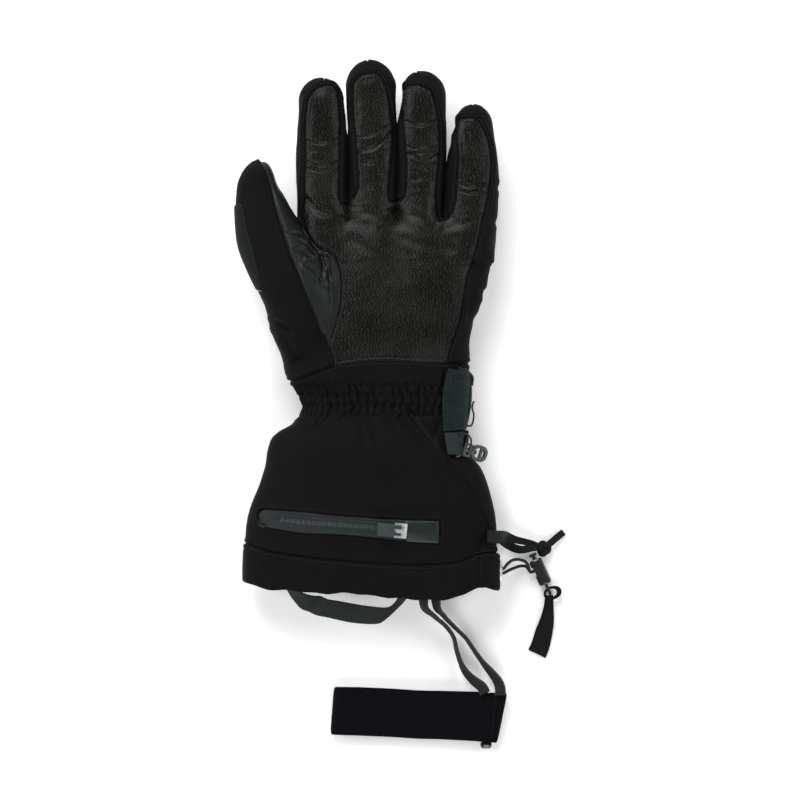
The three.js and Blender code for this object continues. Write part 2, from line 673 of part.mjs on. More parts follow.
// The front leather's outline is the palm patch and a strip up each finger.
function leatherStrip(finger, grow) {
  const shoulder = finger.rows.at(-1).at;
  const margin = (crotch, share) => THREE.MathUtils.lerp(-1, sideMargin,
    smoothStep(0, webRise, (share - crotch) * handLength));
  const top = finger.tip - tipMargin / handLength;
  const left = [];
  const right = [];
  for (const step of [0, 0.17, 0.26, 0.5, 0.75, 1]) {
    const share = THREE.MathUtils.lerp(stripFrom, shoulder - 0.02, step);
    const s = fingerSection(finger, share, 0);
    const y = handY(share) - (step ? 0 : grow);
    left.push({ x: s.x - s.w + margin(finger.crotchLeft, share) - grow, y });
    right.push({ x: s.x + s.w - margin(finger.crotchRight, share) * finger.outer + grow, y });
  }
  const [a, b] = [left.at(-1), right.at(-1)];
  const arc = [];
  for (let i = 1; i < 4; i++) {
    const angle = (Math.PI * i) / 4;
    arc.push({
      x: (a.x + b.x) / 2 - Math.cos(angle) * (b.x - a.x) / 2,
      y: a.y + Math.sin(angle) ** 0.8 * (handY(top) + grow - a.y),
    });
  }
  return [...left, ...arc, ...right.reverse()];
}

function frontLeather(grow) {
  const top = palmLeatherRows.at(-1);
  const y = (row) => handY(row.at) + (row === top ? grow : 0);
  const left = palmLeatherRows.map((row) => ({ x: row.left * palmWidth - grow, y: y(row) }));
  const right = palmLeatherRows.map((row) => ({ x: row.right * palmWidth + grow, y: y(row) }));
  const low = handDepth * leatherSplit - grow;
  const high = handDepth * 2;
  return fingers.reduce((sum, finger) => sum.add(prism(leatherStrip(finger, grow), low, high)),
    prism([...left, ...right.reverse()], low, high));
}

// The thumb's part of the hand lies left of the palm leather's edge.
function thumbSide(grow) {
  const line = palmLeatherRows.slice(0, -1)
    .map((row) => ({ x: row.left * palmWidth - seamGap / 2 + grow, y: handY(row.at) }));
  const beside = fingers[0].rows.slice(1, 3)
    .map((row) => ({ x: row.left * palmWidth - webRoom + grow, y: handY(row.at) }));
  return prism([...line, ...beside, { x: beside.at(-1).x, y: everywhere },
    { x: -everywhere, y: everywhere }, { x: -everywhere, y: handY(-0.1) },
    { x: line[0].x, y: handY(-0.1) }], -10, handDepth * 2);
}

function thumbLeatherSide(grow) {
  const line = thumbSeamRows.map((row) => ({ x: row.x * palmWidth - grow, y: handY(row.at) }));
  return prism([...line, { x: everywhere, y: line.at(-1).y }, { x: everywhere, y: line[0].y }],
    thumbDepth * thumbSplit - grow, handDepth * 2);
}

// Everything under the surface the glove lies on.
const surface = prism([{ x: -everywhere, y: -everywhere }, { x: everywhere, y: -everywhere },
  { x: everywhere, y: everywhere }, { x: -everywhere, y: everywhere }], -60, 0);

const handShell = outerHand.subtract(innerHand).subtract(surface).subtract(below("seam", seamGap / 2));
const palmPart = handShell.subtract(thumbSide(seamGap / 2));
const thumbPart = handShell.intersect(thumbSide(-seamGap / 2));

addMesh("palm_leather", toGeometry(mainBody(palmPart.intersect(frontLeather(-seamGap / 2)))), leather);
addMesh("hand_back", toGeometry(mainBody(palmPart.subtract(frontLeather(seamGap / 2)))), softshell);
addMesh("thumb_leather", toGeometry(mainBody(thumbPart.intersect(thumbLeatherSide(-seamGap / 2)))), leather);
addMesh("thumb_cloth", toGeometry(mainBody(thumbPart.subtract(thumbLeatherSide(seamGap / 2)))), softshell);

// The strip of soft cloth along the thumb's outer edge.
const wiperOutline = [...wiperRows.map((row) => ({ x: row.x * palmWidth, y: handY(row.at) })),
  { x: -everywhere, y: handY(wiperRows.at(-1).at) }, { x: -everywhere, y: handY(wiperRows[0].at) }];
addMesh("thumb_wiper", toGeometry(mainBody(thumbBody(-seamGap - wiperThick, 14)
  .subtract(thumbBody(-seamGap, 14))
  .intersect(prism(wiperOutline, thumbDepth * wiperLow, handDepth * 2)))), greyLeather);

// The cuff: a sleeve whose cloth is gathered into pleats at the wrist.
function cuffSection(share, inset) {
  const read = (name) => readTable(cuffRows, "at", name, share);
  const left = cuffX(read("left")) + inset;
  const right = cuffX(read("right")) - inset;
  const low = read("bottom") * cuffDepth - sink + inset;
  const high = read("top") * cuffDepth - inset;
  return { x: (left + right) / 2, z: (low + high) / 2, w: (right - left) / 2, h: (high - low) / 2 };
}

// How deep the pleats are at a share of cuffLength below the wrist line.
const gather = (share) => smoothStep(-0.13, -0.05, share) * (1 - smoothStep(0.1, 0.36, share));

function cuffBody(inset, sides, shares, pleated) {
  return toSolid(ringsGeometry(shares.map((share) => {
    return Array.from({ length: sides }, (_, i) => {
      const fold = pleated && i % 2 ? pleatDepth * gather(share) : 0;
      const s = cuffSection(share, inset + fold);
      const p = ovalPoint((2 * Math.PI * i) / sides, s.w, s.h, 2.7);
      return new THREE.Vector3(s.x + p.x, cuffY(share), s.z + p.z);
    });
  }), false));
}

// The height of the cuff's front at a place, over its cloth.
function cuffTop(x, y) {
  const s = cuffSection((wristY - y) / cuffLength, 0);
  const reach = Math.min(Math.abs(x - s.x) / s.w, 1);
  return s.z + s.h * (1 - reach ** 2.7) ** (1 / 2.7);
}

const cuffShares = [-0.24, -0.1, -0.03, 0.044, 0.11, 0.18, 0.26, 0.38, 0.52, 0.64, 0.76, 0.88];
const innerCuffShares = [-0.3, -0.09, 0.044, 0.133, 0.21, 0.36, 0.557, 1.1];

function frontSide(grow) {
  const line = frontSeamRows.map((row) => ({ x: cuffX(row.x) + grow, y: cuffY(row.at) }));
  return prism([{ x: -everywhere, y: line[0].y }, ...line, { x: -everywhere, y: line.at(-1).y }],
    cuffDepth / 2 - grow, cuffDepth * 2);
}

const cuffShell = cuffBody(0, 2 * pleatCount, cuffShares, true)
  .subtract(cuffBody(cuffWall, 18, innerCuffShares, false))
  .subtract(surface).intersect(below("seam", -seamGap / 2)).subtract(below("hemTop", seamGap / 2));
addMesh("cuff_front", toGeometry(mainBody(cuffShell.intersect(frontSide(-seamGap / 2)))), softshell);
addMesh("cuff_back", toGeometry(mainBody(cuffShell.subtract(frontSide(seamGap / 2)))), softshell);

// The hem, with a hole for the grommet in its right side.
const hemY = cuffY(grommetPlace.at);
const hemSide = cuffSection(grommetPlace.at, -hemProud);
const grommetX = hemSide.x + hemSide.w;
const grommetZ = cuffDepth * grommetPlace.height;
const across = new THREE.Matrix4().makeRotationZ(-Math.PI / 2).setPosition(grommetX, hemY, grommetZ);
const grommetBore = toSolid(new THREE.CylinderGeometry(grommetHole + grommetWall + seamGap,
  grommetHole + grommetWall + seamGap, 4 * hemWall, 16).applyMatrix4(across));
const hemShares = [0.52, 0.76, 0.92, 1.1];
addMesh("cuff_hem", toGeometry(mainBody(cuffBody(-hemProud, 32, hemShares, false)
  .subtract(cuffBody(hemWall - hemProud, 24, [0.52, 0.76, 1.2], false))
  .subtract(surface).intersect(below("hemTop", -seamGap / 2)).subtract(below("hemFoot", 0))
  .subtract(grommetBore))), softshell);

const flange = grommetHole + grommetWall;
const grommetProfile = [
  [grommetHole, -hemWall - 2 * seamGap], [flange, -hemWall - 2 * seamGap], [flange, seamGap],
  [grommetRadius, seamGap], [grommetRadius - 0.4, seamGap + grommetThick * 0.8],
  [flange, seamGap + grommetThick], [grommetHole, seamGap + grommetThick * 0.6],
  [grommetHole, -hemWall - 2 * seamGap],
].map(([r, y]) => new THREE.Vector2(r, y));
addMesh("grommet", new THREE.LatheGeometry(grommetProfile, 16).applyMatrix4(across), steel);

// Pieces laid on the cuff's front
function cuffPatch(outline, gap, thick) {
  return mainBody(cuffBody(-gap - thick, 2 * pleatCount, cuffShares, false)
    .subtract(cuffBody(-gap, 2 * pleatCount, cuffShares, false))
    .intersect(prism(outline.map(([x, at]) => ({ x: cuffX(x), y: cuffY(at) })),
      cuffDepth / 2, cuffDepth * 2)));
}

const zipOutline = [...zipRows.map((row) => [row.across, row.top]),
  ...[...zipRows].reverse().map((row) => [row.across, row.foot])];
addMesh("zip_tape", toGeometry(cuffPatch(zipOutline, seamGap, zipTapeThick)), greyTape);

// The line the zip closes on.
const zipCentre = (share) => (readTable(zipRows, "across", "top", share)
  + readTable(zipRows, "across", "foot", share)) / 2;
const zipBand = (from, to, width, count) => {
  const stations = Array.from({ length: count + 1 }, (_, i) => from + ((to - from) * i) / count);
  const half = width / 2 / cuffLength;
  return [...stations.map((x) => [x, zipCentre(x) - half]),
    ...stations.reverse().map((x) => [x, zipCentre(x) + half])];
};
const zipBase = 2 * seamGap + zipTapeThick;
addMesh("zip_teeth", toGeometry(cuffPatch(zipBand(teethFrom, teethTo, teethWidth, 6), zipBase, teethHeight)),
  greyTape);
const garageOutline = zipBand(garageFrom, garageTo, zipWidth, 3);
addMesh("zip_garage", toGeometry(cuffPatch(garageOutline, zipBase, zipTapeThick)),
  softshell);

// The slider lies over the teeth, its bridge along the zip, and the pull folds down on its left.
const sliderX = cuffX(sliderAt);
const sliderY = cuffY(zipCentre(sliderAt));
const sliderFrame = new THREE.Group();
sliderFrame.position.set(sliderX, sliderY, cuffTop(sliderX, sliderY) + zipBase);
const slopeX = cuffTop(sliderX + sliderLength / 2, sliderY) - cuffTop(sliderX - sliderLength / 2, sliderY);
const slopeY = cuffTop(sliderX, sliderY + sliderWide / 2) - cuffTop(sliderX, sliderY - sliderWide / 2);
const normal = new THREE.Vector3(-slopeX / sliderLength, -slopeY / sliderWide, 1).normalize();
const zipRun = THREE.MathUtils.degToRad(zipSlope);
const sideways = normal.clone().cross(new THREE.Vector3(Math.cos(zipRun), -Math.sin(zipRun), 0)).normalize();
sliderFrame.quaternion.setFromRotationMatrix(
  new THREE.Matrix4().makeBasis(sideways.clone().cross(normal), sideways, normal));
glove.add(sliderFrame);

function boxSolid(x0, x1, y0, y1, z0, z1) {
  return toSolid(new THREE.BoxGeometry(x1 - x0, y1 - y0, z1 - z0)
    .translate((x0 + x1) / 2, (y0 + y1) / 2, (z0 + z1) / 2));
}

const plateTop = sliderPlate;
const archTop = plateTop + pullWire + 2 * pullRoom + archThick;
const halfArch = archLength / 2;
const slider = boxSolid(-sliderLength / 2, sliderLength / 2, -sliderWide / 2, sliderWide / 2,
  seamGap, plateTop)
  .add(boxSolid(-halfArch, halfArch, -archWide / 2, archWide / 2, plateTop - 0.2, archTop))
  .subtract(boxSolid(-halfArch + archThick, halfArch - archThick, -archWide, archWide,
    plateTop, archTop - archThick));
addMesh("zip_slider", toGeometry(slider), steel, sliderFrame);

const pullFrame = new THREE.Group();
pullFrame.name = "zip_pull_frame";
pullFrame.position.set(0, 0, plateTop + pullRoom + pullWire / 2);
sliderFrame.add(pullFrame);
const armHalf = archWide / 2 + runningGap;
const wire = pullWire / 2;
const pull = boxSolid(-pullReach, wire, -pullWidth / 2, pullWidth / 2, -wire, wire)
  .subtract(boxSolid(-halfArch - 4 * runningGap, -wire, -armHalf, armHalf, -pullWire, pullWire))
  .add(boxSolid(-pullReach, -pullReach + gripLength, -gripWidth / 2, gripWidth / 2, -wire, gripThick - wire));
addMesh("zip_pull", toGeometry(pull), greyPlastic, pullFrame);

// Strap on the wrist's right side, its tab and the bar at the tab's end
addMesh("wrist_strap", toGeometry(cuffPatch(strapOutline, seamGap, strapThick)), greyLeather);
addMesh("strap_tab", toGeometry(cuffPatch(tabOutline, seamGap, strapThick * 0.8)), greyLeather);

// A route over the glove: x is a share of cuffWidth from the cuff's middle, at a share of cuffLength
// below the wrist line, z a share of cuffDepth.
const route = (rows) => rows.map(([x, at, z]) => [cuffX(x), cuffY(at), z * cuffDepth]);

addMesh("pull_loop", strap(route(loopRoute), loopRibbonWidth, ribbonThick, 20, loopTurns), greyTape);
const leashStrap = (rows) => strap(route(rows), leashStrapWidth, leashStrapThick, 16, strapTurns);
addMesh("leash_strap_left", leashStrap(leftStrapRoute), webbing);
addMesh("leash_strap_right", leashStrap(rightStrapRoute), webbing);

// The leash's band: an elastic loop lying flat, its opening across.
const bandHigh = bandOpening + 2 * bandThick;
function stadium(halfLength, halfHigh) {
  const points = [];
  for (let side = 0; side < 2; side++)
    for (let i = 0; i <= 6; i++) {
      const angle = -Math.PI / 2 + (Math.PI * i) / 6 + side * Math.PI;
      const end = side ? -1 : 1;
      points.push(new THREE.Vector2(end * (halfLength - halfHigh) + Math.cos(angle) * halfHigh,
        Math.sin(angle) * halfHigh));
    }
  return points;
}
const bandShape = new THREE.Shape(stadium(bandLength / 2, bandHigh / 2));
bandShape.holes.push(new THREE.Path(stadium(bandLength / 2 - bandThick, bandOpening / 2).reverse()));
const bandSheet = new THREE.ExtrudeGeometry(bandShape, { depth: bandWidth, bevelEnabled: false })
  .translate(0, 0, -bandWidth / 2).rotateX(Math.PI / 2);
const band = addMesh("leash_band", bandSheet, elastic);
band.position.set(cuffX(bandPlace.across), cuffY(bandPlace.at), bandHigh / 2);
band.rotation.z = -THREE.MathUtils.degToRad(bandPlace.turn);

const toggleRod = new THREE.CapsuleGeometry(toggleWidth / 2, toggleLength - toggleWidth, 3, 8);
const toggle = addMesh("leash_toggle", toggleRod.rotateZ(Math.PI / 2), greyPlastic);
toggle.position.set(bandLength / 2 - toggleInset, -(bandWidth + toggleWidth) / 2 - seamGap, 0)
  .applyMatrix4(new THREE.Matrix4().compose(band.position, band.quaternion, band.scale)).setZ(toggleWidth / 2);
toggle.rotation.z = band.rotation.z;

// Ribbons from the cuff's side seam to the cord lock, and the knot in them.
addMesh("lock_ribbon_upper", strap(route(upperRibbonRoute), upperRibbonWidth, sideRibbonThick, 18,
  upperRibbonTurns), greyTape);
addMesh("lock_ribbon_lower", strap(route(lowerRibbonRoute), lowerRibbonWidth, sideRibbonThick, 16), greyTape);
const knot = addMesh("ribbon_knot", new THREE.TorusKnotGeometry(knotRadius, knotTube, 36, 5, 2, 3), greyTape);
knot.position.set(cuffX(knotPlace.across), cuffY(knotPlace.at), knotHeight);
addMesh("ribbon_tail", strap(route(tailRoute), tailWidth, ribbonThick, 6), greyTape);

// Cord lock: a barrel with the button's bore at its top and the cord's channel below it. In its own
// frame +Y runs up the barrel to the button.
const lockFrame = new THREE.Group();
lockFrame.position.set(cuffX(lockPlace.across), cuffY(lockPlace.at), lockDepth / 2 + 0.3);
lockFrame.rotation.z = THREE.MathUtils.degToRad(lockTurn);
glove.add(lockFrame);
const lockRings = [[0, 0.82], [-1, 1], [1 - lockLength, 1], [-lockLength, 0.8]].map(([y, size]) =>
  Array.from({ length: 16 }, (_, i) => {
    const angle = (2 * Math.PI * (i + 0.5)) / 16;
    const p = ovalPoint(angle, (lockWidth / 2) * size, (lockDepth / 2) * size, 2.8);
    return new THREE.Vector3(p.x, y, p.z);
  }));
const boreDepth = stemInside + buttonTravel + runningGap;
const boreRadius = stemRadius + runningGap;
const lockBody = toSolid(ringsGeometry(lockRings, false))
  .subtract(toSolid(new THREE.CylinderGeometry(boreRadius, boreRadius, 2 * boreDepth, 14)))
  .subtract(boxSolid(-channelWidth / 2, channelWidth / 2, -2 * lockLength, -windowFrom,
    -channelHigh / 2, channelHigh / 2))
  .subtract(boxSolid(-lockWidth, 0, -windowTo, -windowFrom, -channelHigh / 2, channelHigh / 2));
addMesh("cord_lock", toGeometry(lockBody), greyPlastic, lockFrame);
const headFoot = buttonTravel + runningGap;
const button = toSolid(new THREE.CylinderGeometry(stemRadius, stemRadius, stemInside + headFoot + 0.2, 14)
  .translate(0, (headFoot + 0.2 - stemInside) / 2, 0))
  .add(boxSolid(-headWidth / 2, headWidth / 2, headFoot, headFoot + headThick,
    -headDepth / 2, headDepth / 2));
addMesh("cord_lock_button", toGeometry(button), greyPlastic, lockFrame);

// The cord goes through the grommet, down the lock, round the pull's loop and back.
lockFrame.updateMatrixWorld(true);
const inLock = (x, y, z) => new THREE.Vector3(x, y, z).applyMatrix4(lockFrame.matrixWorld).toArray();
const strandZ = cordDiameter / 2 + 0.15;
const barFrom = lockLength + pullDrop;
const barTo = barFrom + ringRim;
const overBar = tabThick / 2 + cordDiameter / 2 + 2 * runningGap;
const beyond = barTo + cordDiameter / 2 + 4 * runningGap;
const half = (side) => [...strandInLock.map(([x, y]) => [x, y, side * strandZ]),
  [0, 0.6 - lockLength, side * strandZ], [0, -barFrom, side * overBar],
  [0, 0.3 - barTo, side * overBar]].map((p) => inLock(...p));
const cordPath = [...route(upperStrand), ...half(1), inLock(0, -beyond, 0), ...half(-1).reverse(),
  ...route(lowerStrand).reverse()];
const cordPoints = cordPath.map((p) => new THREE.Vector3(...p));
const cordCurve = new THREE.CatmullRomCurve3(cordPoints, false, "centripetal");
const cordEdge = new THREE.EllipseCurve(0, 0, cordDiameter / 2, cordDiameter / 2);
const cordRound = new THREE.Shape(cordEdge.getPoints(8));
const drawcord = addMesh("drawcord", new THREE.ExtrudeGeometry(cordRound,
  { steps: 56, extrudePath: cordCurve, bevelEnabled: false }), cord);

const ringCentre = inLock(1, -barFrom - 4, 0);
const oval = (halfX, halfY) => Array.from({ length: 20 }, (_, i) => {
  const angle = (2 * Math.PI * i) / 20;
  const turned = new THREE.Vector2(Math.cos(angle) * halfX, Math.sin(angle) * halfY)
    .rotateAround(new THREE.Vector2(), THREE.MathUtils.degToRad(lockTurn));
  return { x: ringCentre[0] + turned.x, y: ringCentre[1] + turned.y };
});
const ringLow = lockFrame.position.z - tabThick / 2;
const pullRing = prism(oval(ringHalfWide, ringHalfHigh), ringLow, ringLow + tabThick)
  .subtract(prism(oval(ringHalfWide - ringRim, ringHalfHigh - ringRim), 0, 2 * lockDepth));
const pullTab = toSolid(ringsGeometry(pullTabRows.map((row) => {
  const halfWide = (row.wide * pullTabWidth) / 2;
  return [[1, 1], [-1, 1], [-1, -1], [1, -1]].map(([a, b]) => new THREE.Vector3(
    cuffX(row.x) + a * halfWide, cuffY(row.at) + a * halfWide * 0.3 * (row.at - 1) * 4,
    row.z * cuffDepth + (b * tabThick) / 2));
}), false));
const cordPull = addMesh("cord_pull", toGeometry(pullRing.add(pullTab)), webbing);

// Wrist hook: an eye on a thin cord, and a clip that turns on the eye's pin. +X runs out to the clip.
const hookFrame = new THREE.Group();
hookFrame.position.set(cuffX(hookPlace.across), cuffY(hookPlace.at), hookPlace.height * cuffDepth);
hookFrame.rotation.set(0, THREE.MathUtils.degToRad(hookTilt), -THREE.MathUtils.degToRad(hookTurn), "ZYX");
glove.add(hookFrame);
const eyeThick = hookThick * 0.8;
const pinEnd = eyeWide / 2 + runningGap + hookRim + 2 * runningGap;
const lengthwise = (radius, from, to) => toSolid(new THREE.CylinderGeometry(radius, radius, to - from, 12)
  .rotateZ(Math.PI / 2).translate((from + to) / 2, 0, 0));
const eye = boxSolid(-eyeWide / 2, eyeWide / 2, -eyeLength / 2, eyeLength / 2, -eyeThick / 2, eyeThick / 2)
  .subtract(boxSolid(-eyeWide / 2 + eyeRim, eyeWide / 2 - eyeRim, -eyeLength / 2 + eyeRim,
    eyeLength / 2 - eyeRim, -eyeThick, eyeThick))
  .add(lengthwise(pinRadius, eyeWide / 2 - 0.2, pinEnd + 0.2))
  .add(lengthwise(pinRadius + 0.5, pinEnd, pinEnd + 0.9));
addMesh("hook_eye", toGeometry(eye), greyPlastic, hookFrame);
const clipMiddle = eyeWide / 2 + runningGap + hookLength / 2;
const ring = (shrink) => Array.from({ length: 24 }, (_, i) => {
  const p = ovalPoint((2 * Math.PI * i) / 24, hookLength / 2 - shrink, hookWide / 2 - shrink, 2.4);
  return { x: clipMiddle + p.x, y: p.z };
});
const clip = prism(ring(0), -hookThick / 2, hookThick / 2)
  .subtract(prism(ring(hookRim), -hookThick, hookThick))
  .add(boxSolid(clipMiddle + 0.4, clipMiddle + 0.4 + gateWide, -hookWide / 2 + hookRim / 2,
    hookWide / 2 - hookRim / 2, -hookThick * 0.35, hookThick * 0.35))
  .subtract(lengthwise(pinRadius + runningGap, 0, clipMiddle - hookLength / 2 + hookRim + 0.4));
addMesh("hook_clip", toGeometry(clip), greyPlastic, hookFrame);

addMesh("hook_cord", roundCord(route(hookCordRoute), hookCordDiameter, 24, 5), cord);
addMesh("side_cord", roundCord(route(sideCordRoute), hookCordDiameter, 10, 5), cord);
const barEnds = barRoute.map(([x, at]) =>
  [cuffX(x), cuffY(at), cuffTop(cuffX(x), cuffY(at)) + 1.3 * barDiameter]);
addMesh("tab_bar", roundCord(barEnds, barDiameter, 1, 8), steel);

// The origin is under the middle of everything but the cord and what is on it.
const box = new THREE.Box3();
const onCord = [drawcord, lockFrame, cordPull];
onCord.forEach((piece) => piece.removeFromParent());
box.setFromObject(glove, true);
const centre = box.getCenter(new THREE.Vector3());
onCord.forEach((piece) => glove.add(piece));
glove.position.set(-centre.x, -centre.y, -box.min.z);
const heatedGlove = new THREE.Group().add(glove);

export default heatedGlove;
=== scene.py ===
import math
import bpy
import numpy as np
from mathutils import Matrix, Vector
from mathutils.bvhtree import BVHTree


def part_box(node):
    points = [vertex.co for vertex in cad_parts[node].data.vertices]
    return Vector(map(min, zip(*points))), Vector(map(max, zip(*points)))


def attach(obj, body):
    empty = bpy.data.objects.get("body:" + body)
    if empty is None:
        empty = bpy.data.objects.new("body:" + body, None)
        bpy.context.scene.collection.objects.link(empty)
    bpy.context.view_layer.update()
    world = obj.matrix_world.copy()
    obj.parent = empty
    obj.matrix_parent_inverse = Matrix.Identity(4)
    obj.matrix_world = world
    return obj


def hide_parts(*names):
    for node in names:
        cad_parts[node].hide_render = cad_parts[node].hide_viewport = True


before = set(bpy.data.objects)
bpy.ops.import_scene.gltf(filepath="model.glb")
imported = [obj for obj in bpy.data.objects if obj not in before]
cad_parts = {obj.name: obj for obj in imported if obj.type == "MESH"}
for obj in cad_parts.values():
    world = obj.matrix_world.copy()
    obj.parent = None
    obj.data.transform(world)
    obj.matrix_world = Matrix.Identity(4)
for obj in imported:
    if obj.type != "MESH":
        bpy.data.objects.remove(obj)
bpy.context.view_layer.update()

# Millimetres from the middle of the palm, +X to the little finger, +Y to the fingertips, +Z up.
glove = {
    "handLength": 212, "cuffLength": 128.5, "palmWidth": 127, "cuffWidth": 161.5,
    "handDepth": 44, "cuffDepth": 46, "fingerDepth": 27,
    "thumbLength": 128, "thumbWidth": 33, "thumbDepth": 31,
    "wristY": -78.44, "cuffMiddle": -17.4, "sink": 0.8, "crotchOverlap": 2, "fingerGap": 0.8,
    # How square each cross-section is: 2 is an oval, more is squarer.
    "bodyRound": 2.7, "fingerRound": 2.4, "thumbRound": 2.3,
    # How far each joint between forms is softened.
    "palmBlend": 5, "fingerBlend": 0.6, "thumbBlend": 3, "groundBlend": 1.5,
}
length, cuffLong = glove["handLength"], glove["cuffLength"]
palm, cuffWide = glove["palmWidth"], glove["cuffWidth"]
deep, cuffDeep = glove["handDepth"], glove["cuffDepth"]
wristY = glove["wristY"]


def handY(share):
    return wristY + share * length


def cuffY(share):
    return wristY - share * cuffLong


def cuffX(share):
    return glove["cuffMiddle"] + share * cuffWide


# The leash's band places the whole part: its middle is known in both frames.
bandPlace = {"across": 0.183, "at": 1.574, "turn": 2.15}
bandLow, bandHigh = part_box("leash_band")
bandMiddle = (bandLow + bandHigh) * 500
originShift = np.array([bandMiddle.x - cuffX(bandPlace["across"]),
                        bandMiddle.y - cuffY(bandPlace["at"]), 0])


def toRow(points):
    return (np.asarray(points, float) + originShift) * 0.001


def columns(names, rows):
    return dict(zip(names, np.array(rows, float).T))


def smoothStep(low, high, value):
    t = np.clip((value - low) / (high - low), 0, 1)
    return t * t * (3 - 2 * t)


def readTable(table, key, name, at):
    keys, values = table[key], table[name]
    at = np.clip(at, keys[0], keys[-1])
    last = len(keys) - 1
    b = np.clip(np.searchsorted(keys, at) - 1, 0, last - 1)
    a, c, d = np.maximum(b - 1, 0), b + 1, np.minimum(b + 2, last)
    span = keys[c] - keys[b]
    t = (at - keys[b]) / span
    slopeB = (values[c] - values[a]) / (keys[c] - keys[a]) * span
    slopeC = (values[d] - values[b]) / (keys[d] - keys[b]) * span
    t2, t3 = t * t, t * t * t
    return ((2 * t3 - 3 * t2 + 1) * values[b] + (t3 - 2 * t2 + t) * slopeB
            + (3 * t2 - 2 * t3) * values[c] + (t3 - t2) * slopeC)


def lattice(ix, iy, iz, seed):
    # A repeatable number from 0 to 1 for each whole-numbered place.
    n = (ix * 374761393 + iy * 668265263 + iz * 2147483647 + seed * 1274126177) & 0xFFFFFFFF
    n = ((n ^ (n >> 13)) * 1274126177) & 0xFFFFFFFF
    n = ((n ^ (n >> 16)) * 2246822519) & 0xFFFFFFFF
    return ((n ^ (n >> 15)) & 0xFFFFFF) / float(0xFFFFFF)


def noise(points, size, seed=0):
    # Smooth noise from -1 to 1; size is its lumps' width, and each place that uses it has its own seed.
    q = np.asarray(points, float) / np.asarray(size, float)
    base = np.floor(q).astype(np.int64)
    f = q - base
    f = f * f * f * (f * (f * 6 - 15) + 10)
    total = np.zeros(len(q))
    for dx in (0, 1):
        for dy in (0, 1):
            for dz in (0, 1):
                weight = (np.where(dx, f[:, 0], 1 - f[:, 0]) * np.where(dy, f[:, 1], 1 - f[:, 1])
                          * np.where(dz, f[:, 2], 1 - f[:, 2]))
                total += weight * lattice(base[:, 0] + dx, base[:, 1] + dy, base[:, 2] + dz, seed)
    return total * 2 - 1


# Forms are distances: below nothing inside, above nothing outside.
# The hand's rows run from the wrist to the knuckles, as shares of its length, width and depth.
handRows = columns(("at", "left", "right", "bottom", "top"), [
    (-0.03, -0.49, 0.35, 0.08, 0.9), (0.057, -0.553, 0.354, 0.04, 0.94), (0.146, -0.583, 0.359, 0, 0.98),
    (0.206, -0.575, 0.374, 0, 1), (0.281, -0.545, 0.419, 0, 1), (0.37, -0.505, 0.459, 0, 0.99),
    (0.44, -0.5, 0.476, 0.02, 0.95), (0.485, -0.498, 0.484, 0.09, 0.915), (0.515, -0.49, 0.484, 0.2, 0.865)])

fingers = {
    "index": {"tip": 0.949, "crotches": (0.3, 0.57), "rows": columns(("at", "left", "right"), [
        (0.44, -0.4935, -0.247), (0.57, -0.502, -0.25), (0.728, -0.5135, -0.248), (0.878, -0.4985, -0.272)])},
    "middle": {"tip": 1, "crotches": (0.57, 0.579), "rows": columns(("at", "left", "right"), [
        (0.44, -0.247, -0.009), (0.575, -0.25, -0.008), (0.728, -0.248, -0.0075), (0.922, -0.264, -0.0125)])},
    "ring": {"tip": 0.967, "crotches": (0.579, 0.519), "rows": columns(("at", "left", "right"), [
        (0.44, -0.009, 0.222), (0.55, -0.008, 0.222), (0.728, -0.0075, 0.244), (0.8925, 0.01, 0.237)])},
    "little": {"tip": 0.8687, "crotches": (0.519, 0.3), "rows": columns(("at", "left", "right"), [
        (0.42, 0.222, 0.478), (0.52, 0.222, 0.493), (0.6836, 0.239, 0.5035), (0.803, 0.279, 0.4735)])},
}
fingerCurl = columns(("along", "lift", "depth"), [
    (0, 0.8, 1.42), (0.16, 0.83, 1.26), (0.32, 0.87, 1.1), (0.65, 0.95, 1), (1, 1.13, 0.93), (1.2, 1.25, 0.9)])

thumb = {"rootX": -0.42, "rootY": 0.123, "lean": 17}
thumbRows = columns(("along", "bend", "width", "depth", "lift"), [
    (0, 0.08, 0.9, 0.95, 0.8), (0.12, 0, 1.3, 1.25, 0.88), (0.3, -0.08, 1.42, 1.36, 0.95),
    (0.46, 0.02, 1.42, 1.28, 0.97), (0.62, 0.14, 1.27, 1.12, 0.96), (0.78, 0.16, 0.98, 0.97, 0.93),
    (0.88, 0.13, 0.78, 0.88, 0.9), (1, 0, 0.7, 0.8, 0.88)])


def softMin(a, b, blend):
    h = np.clip(0.5 + 0.5 * (b - a) / blend, 0, 1)
    return b + (a - b) * h - blend * h * (1 - h)


def ovalDistance(dx, dz, halfWide, halfHigh, power, past=0):
    q = (np.abs(dx / halfWide) ** power + np.abs(dz / halfHigh) ** power) ** (1 / power)
    q = np.sqrt(q * q + past * past)
    reach = np.sqrt(dx * dx + dz * dz + (past * np.minimum(halfWide, halfHigh)) ** 2)
    return reach - reach / np.maximum(q, 1e-3)


def trunkForm(x, y, z):
    share = (y - wristY) / length
    left, right = (readTable(handRows, "at", k, share) * palm for k in ("left", "right"))
    low = readTable(handRows, "at", "bottom", share) * deep - glove["sink"]
    high = readTable(handRows, "at", "top", share) * deep
    body = ovalDistance(x - (left + right) / 2, z - (low + high) / 2, (right - left) / 2, (high - low) / 2,
                        glove["bodyRound"])
    return -softMin(-body, -(y - handY(handRows["at"][-1])), glove["palmBlend"])


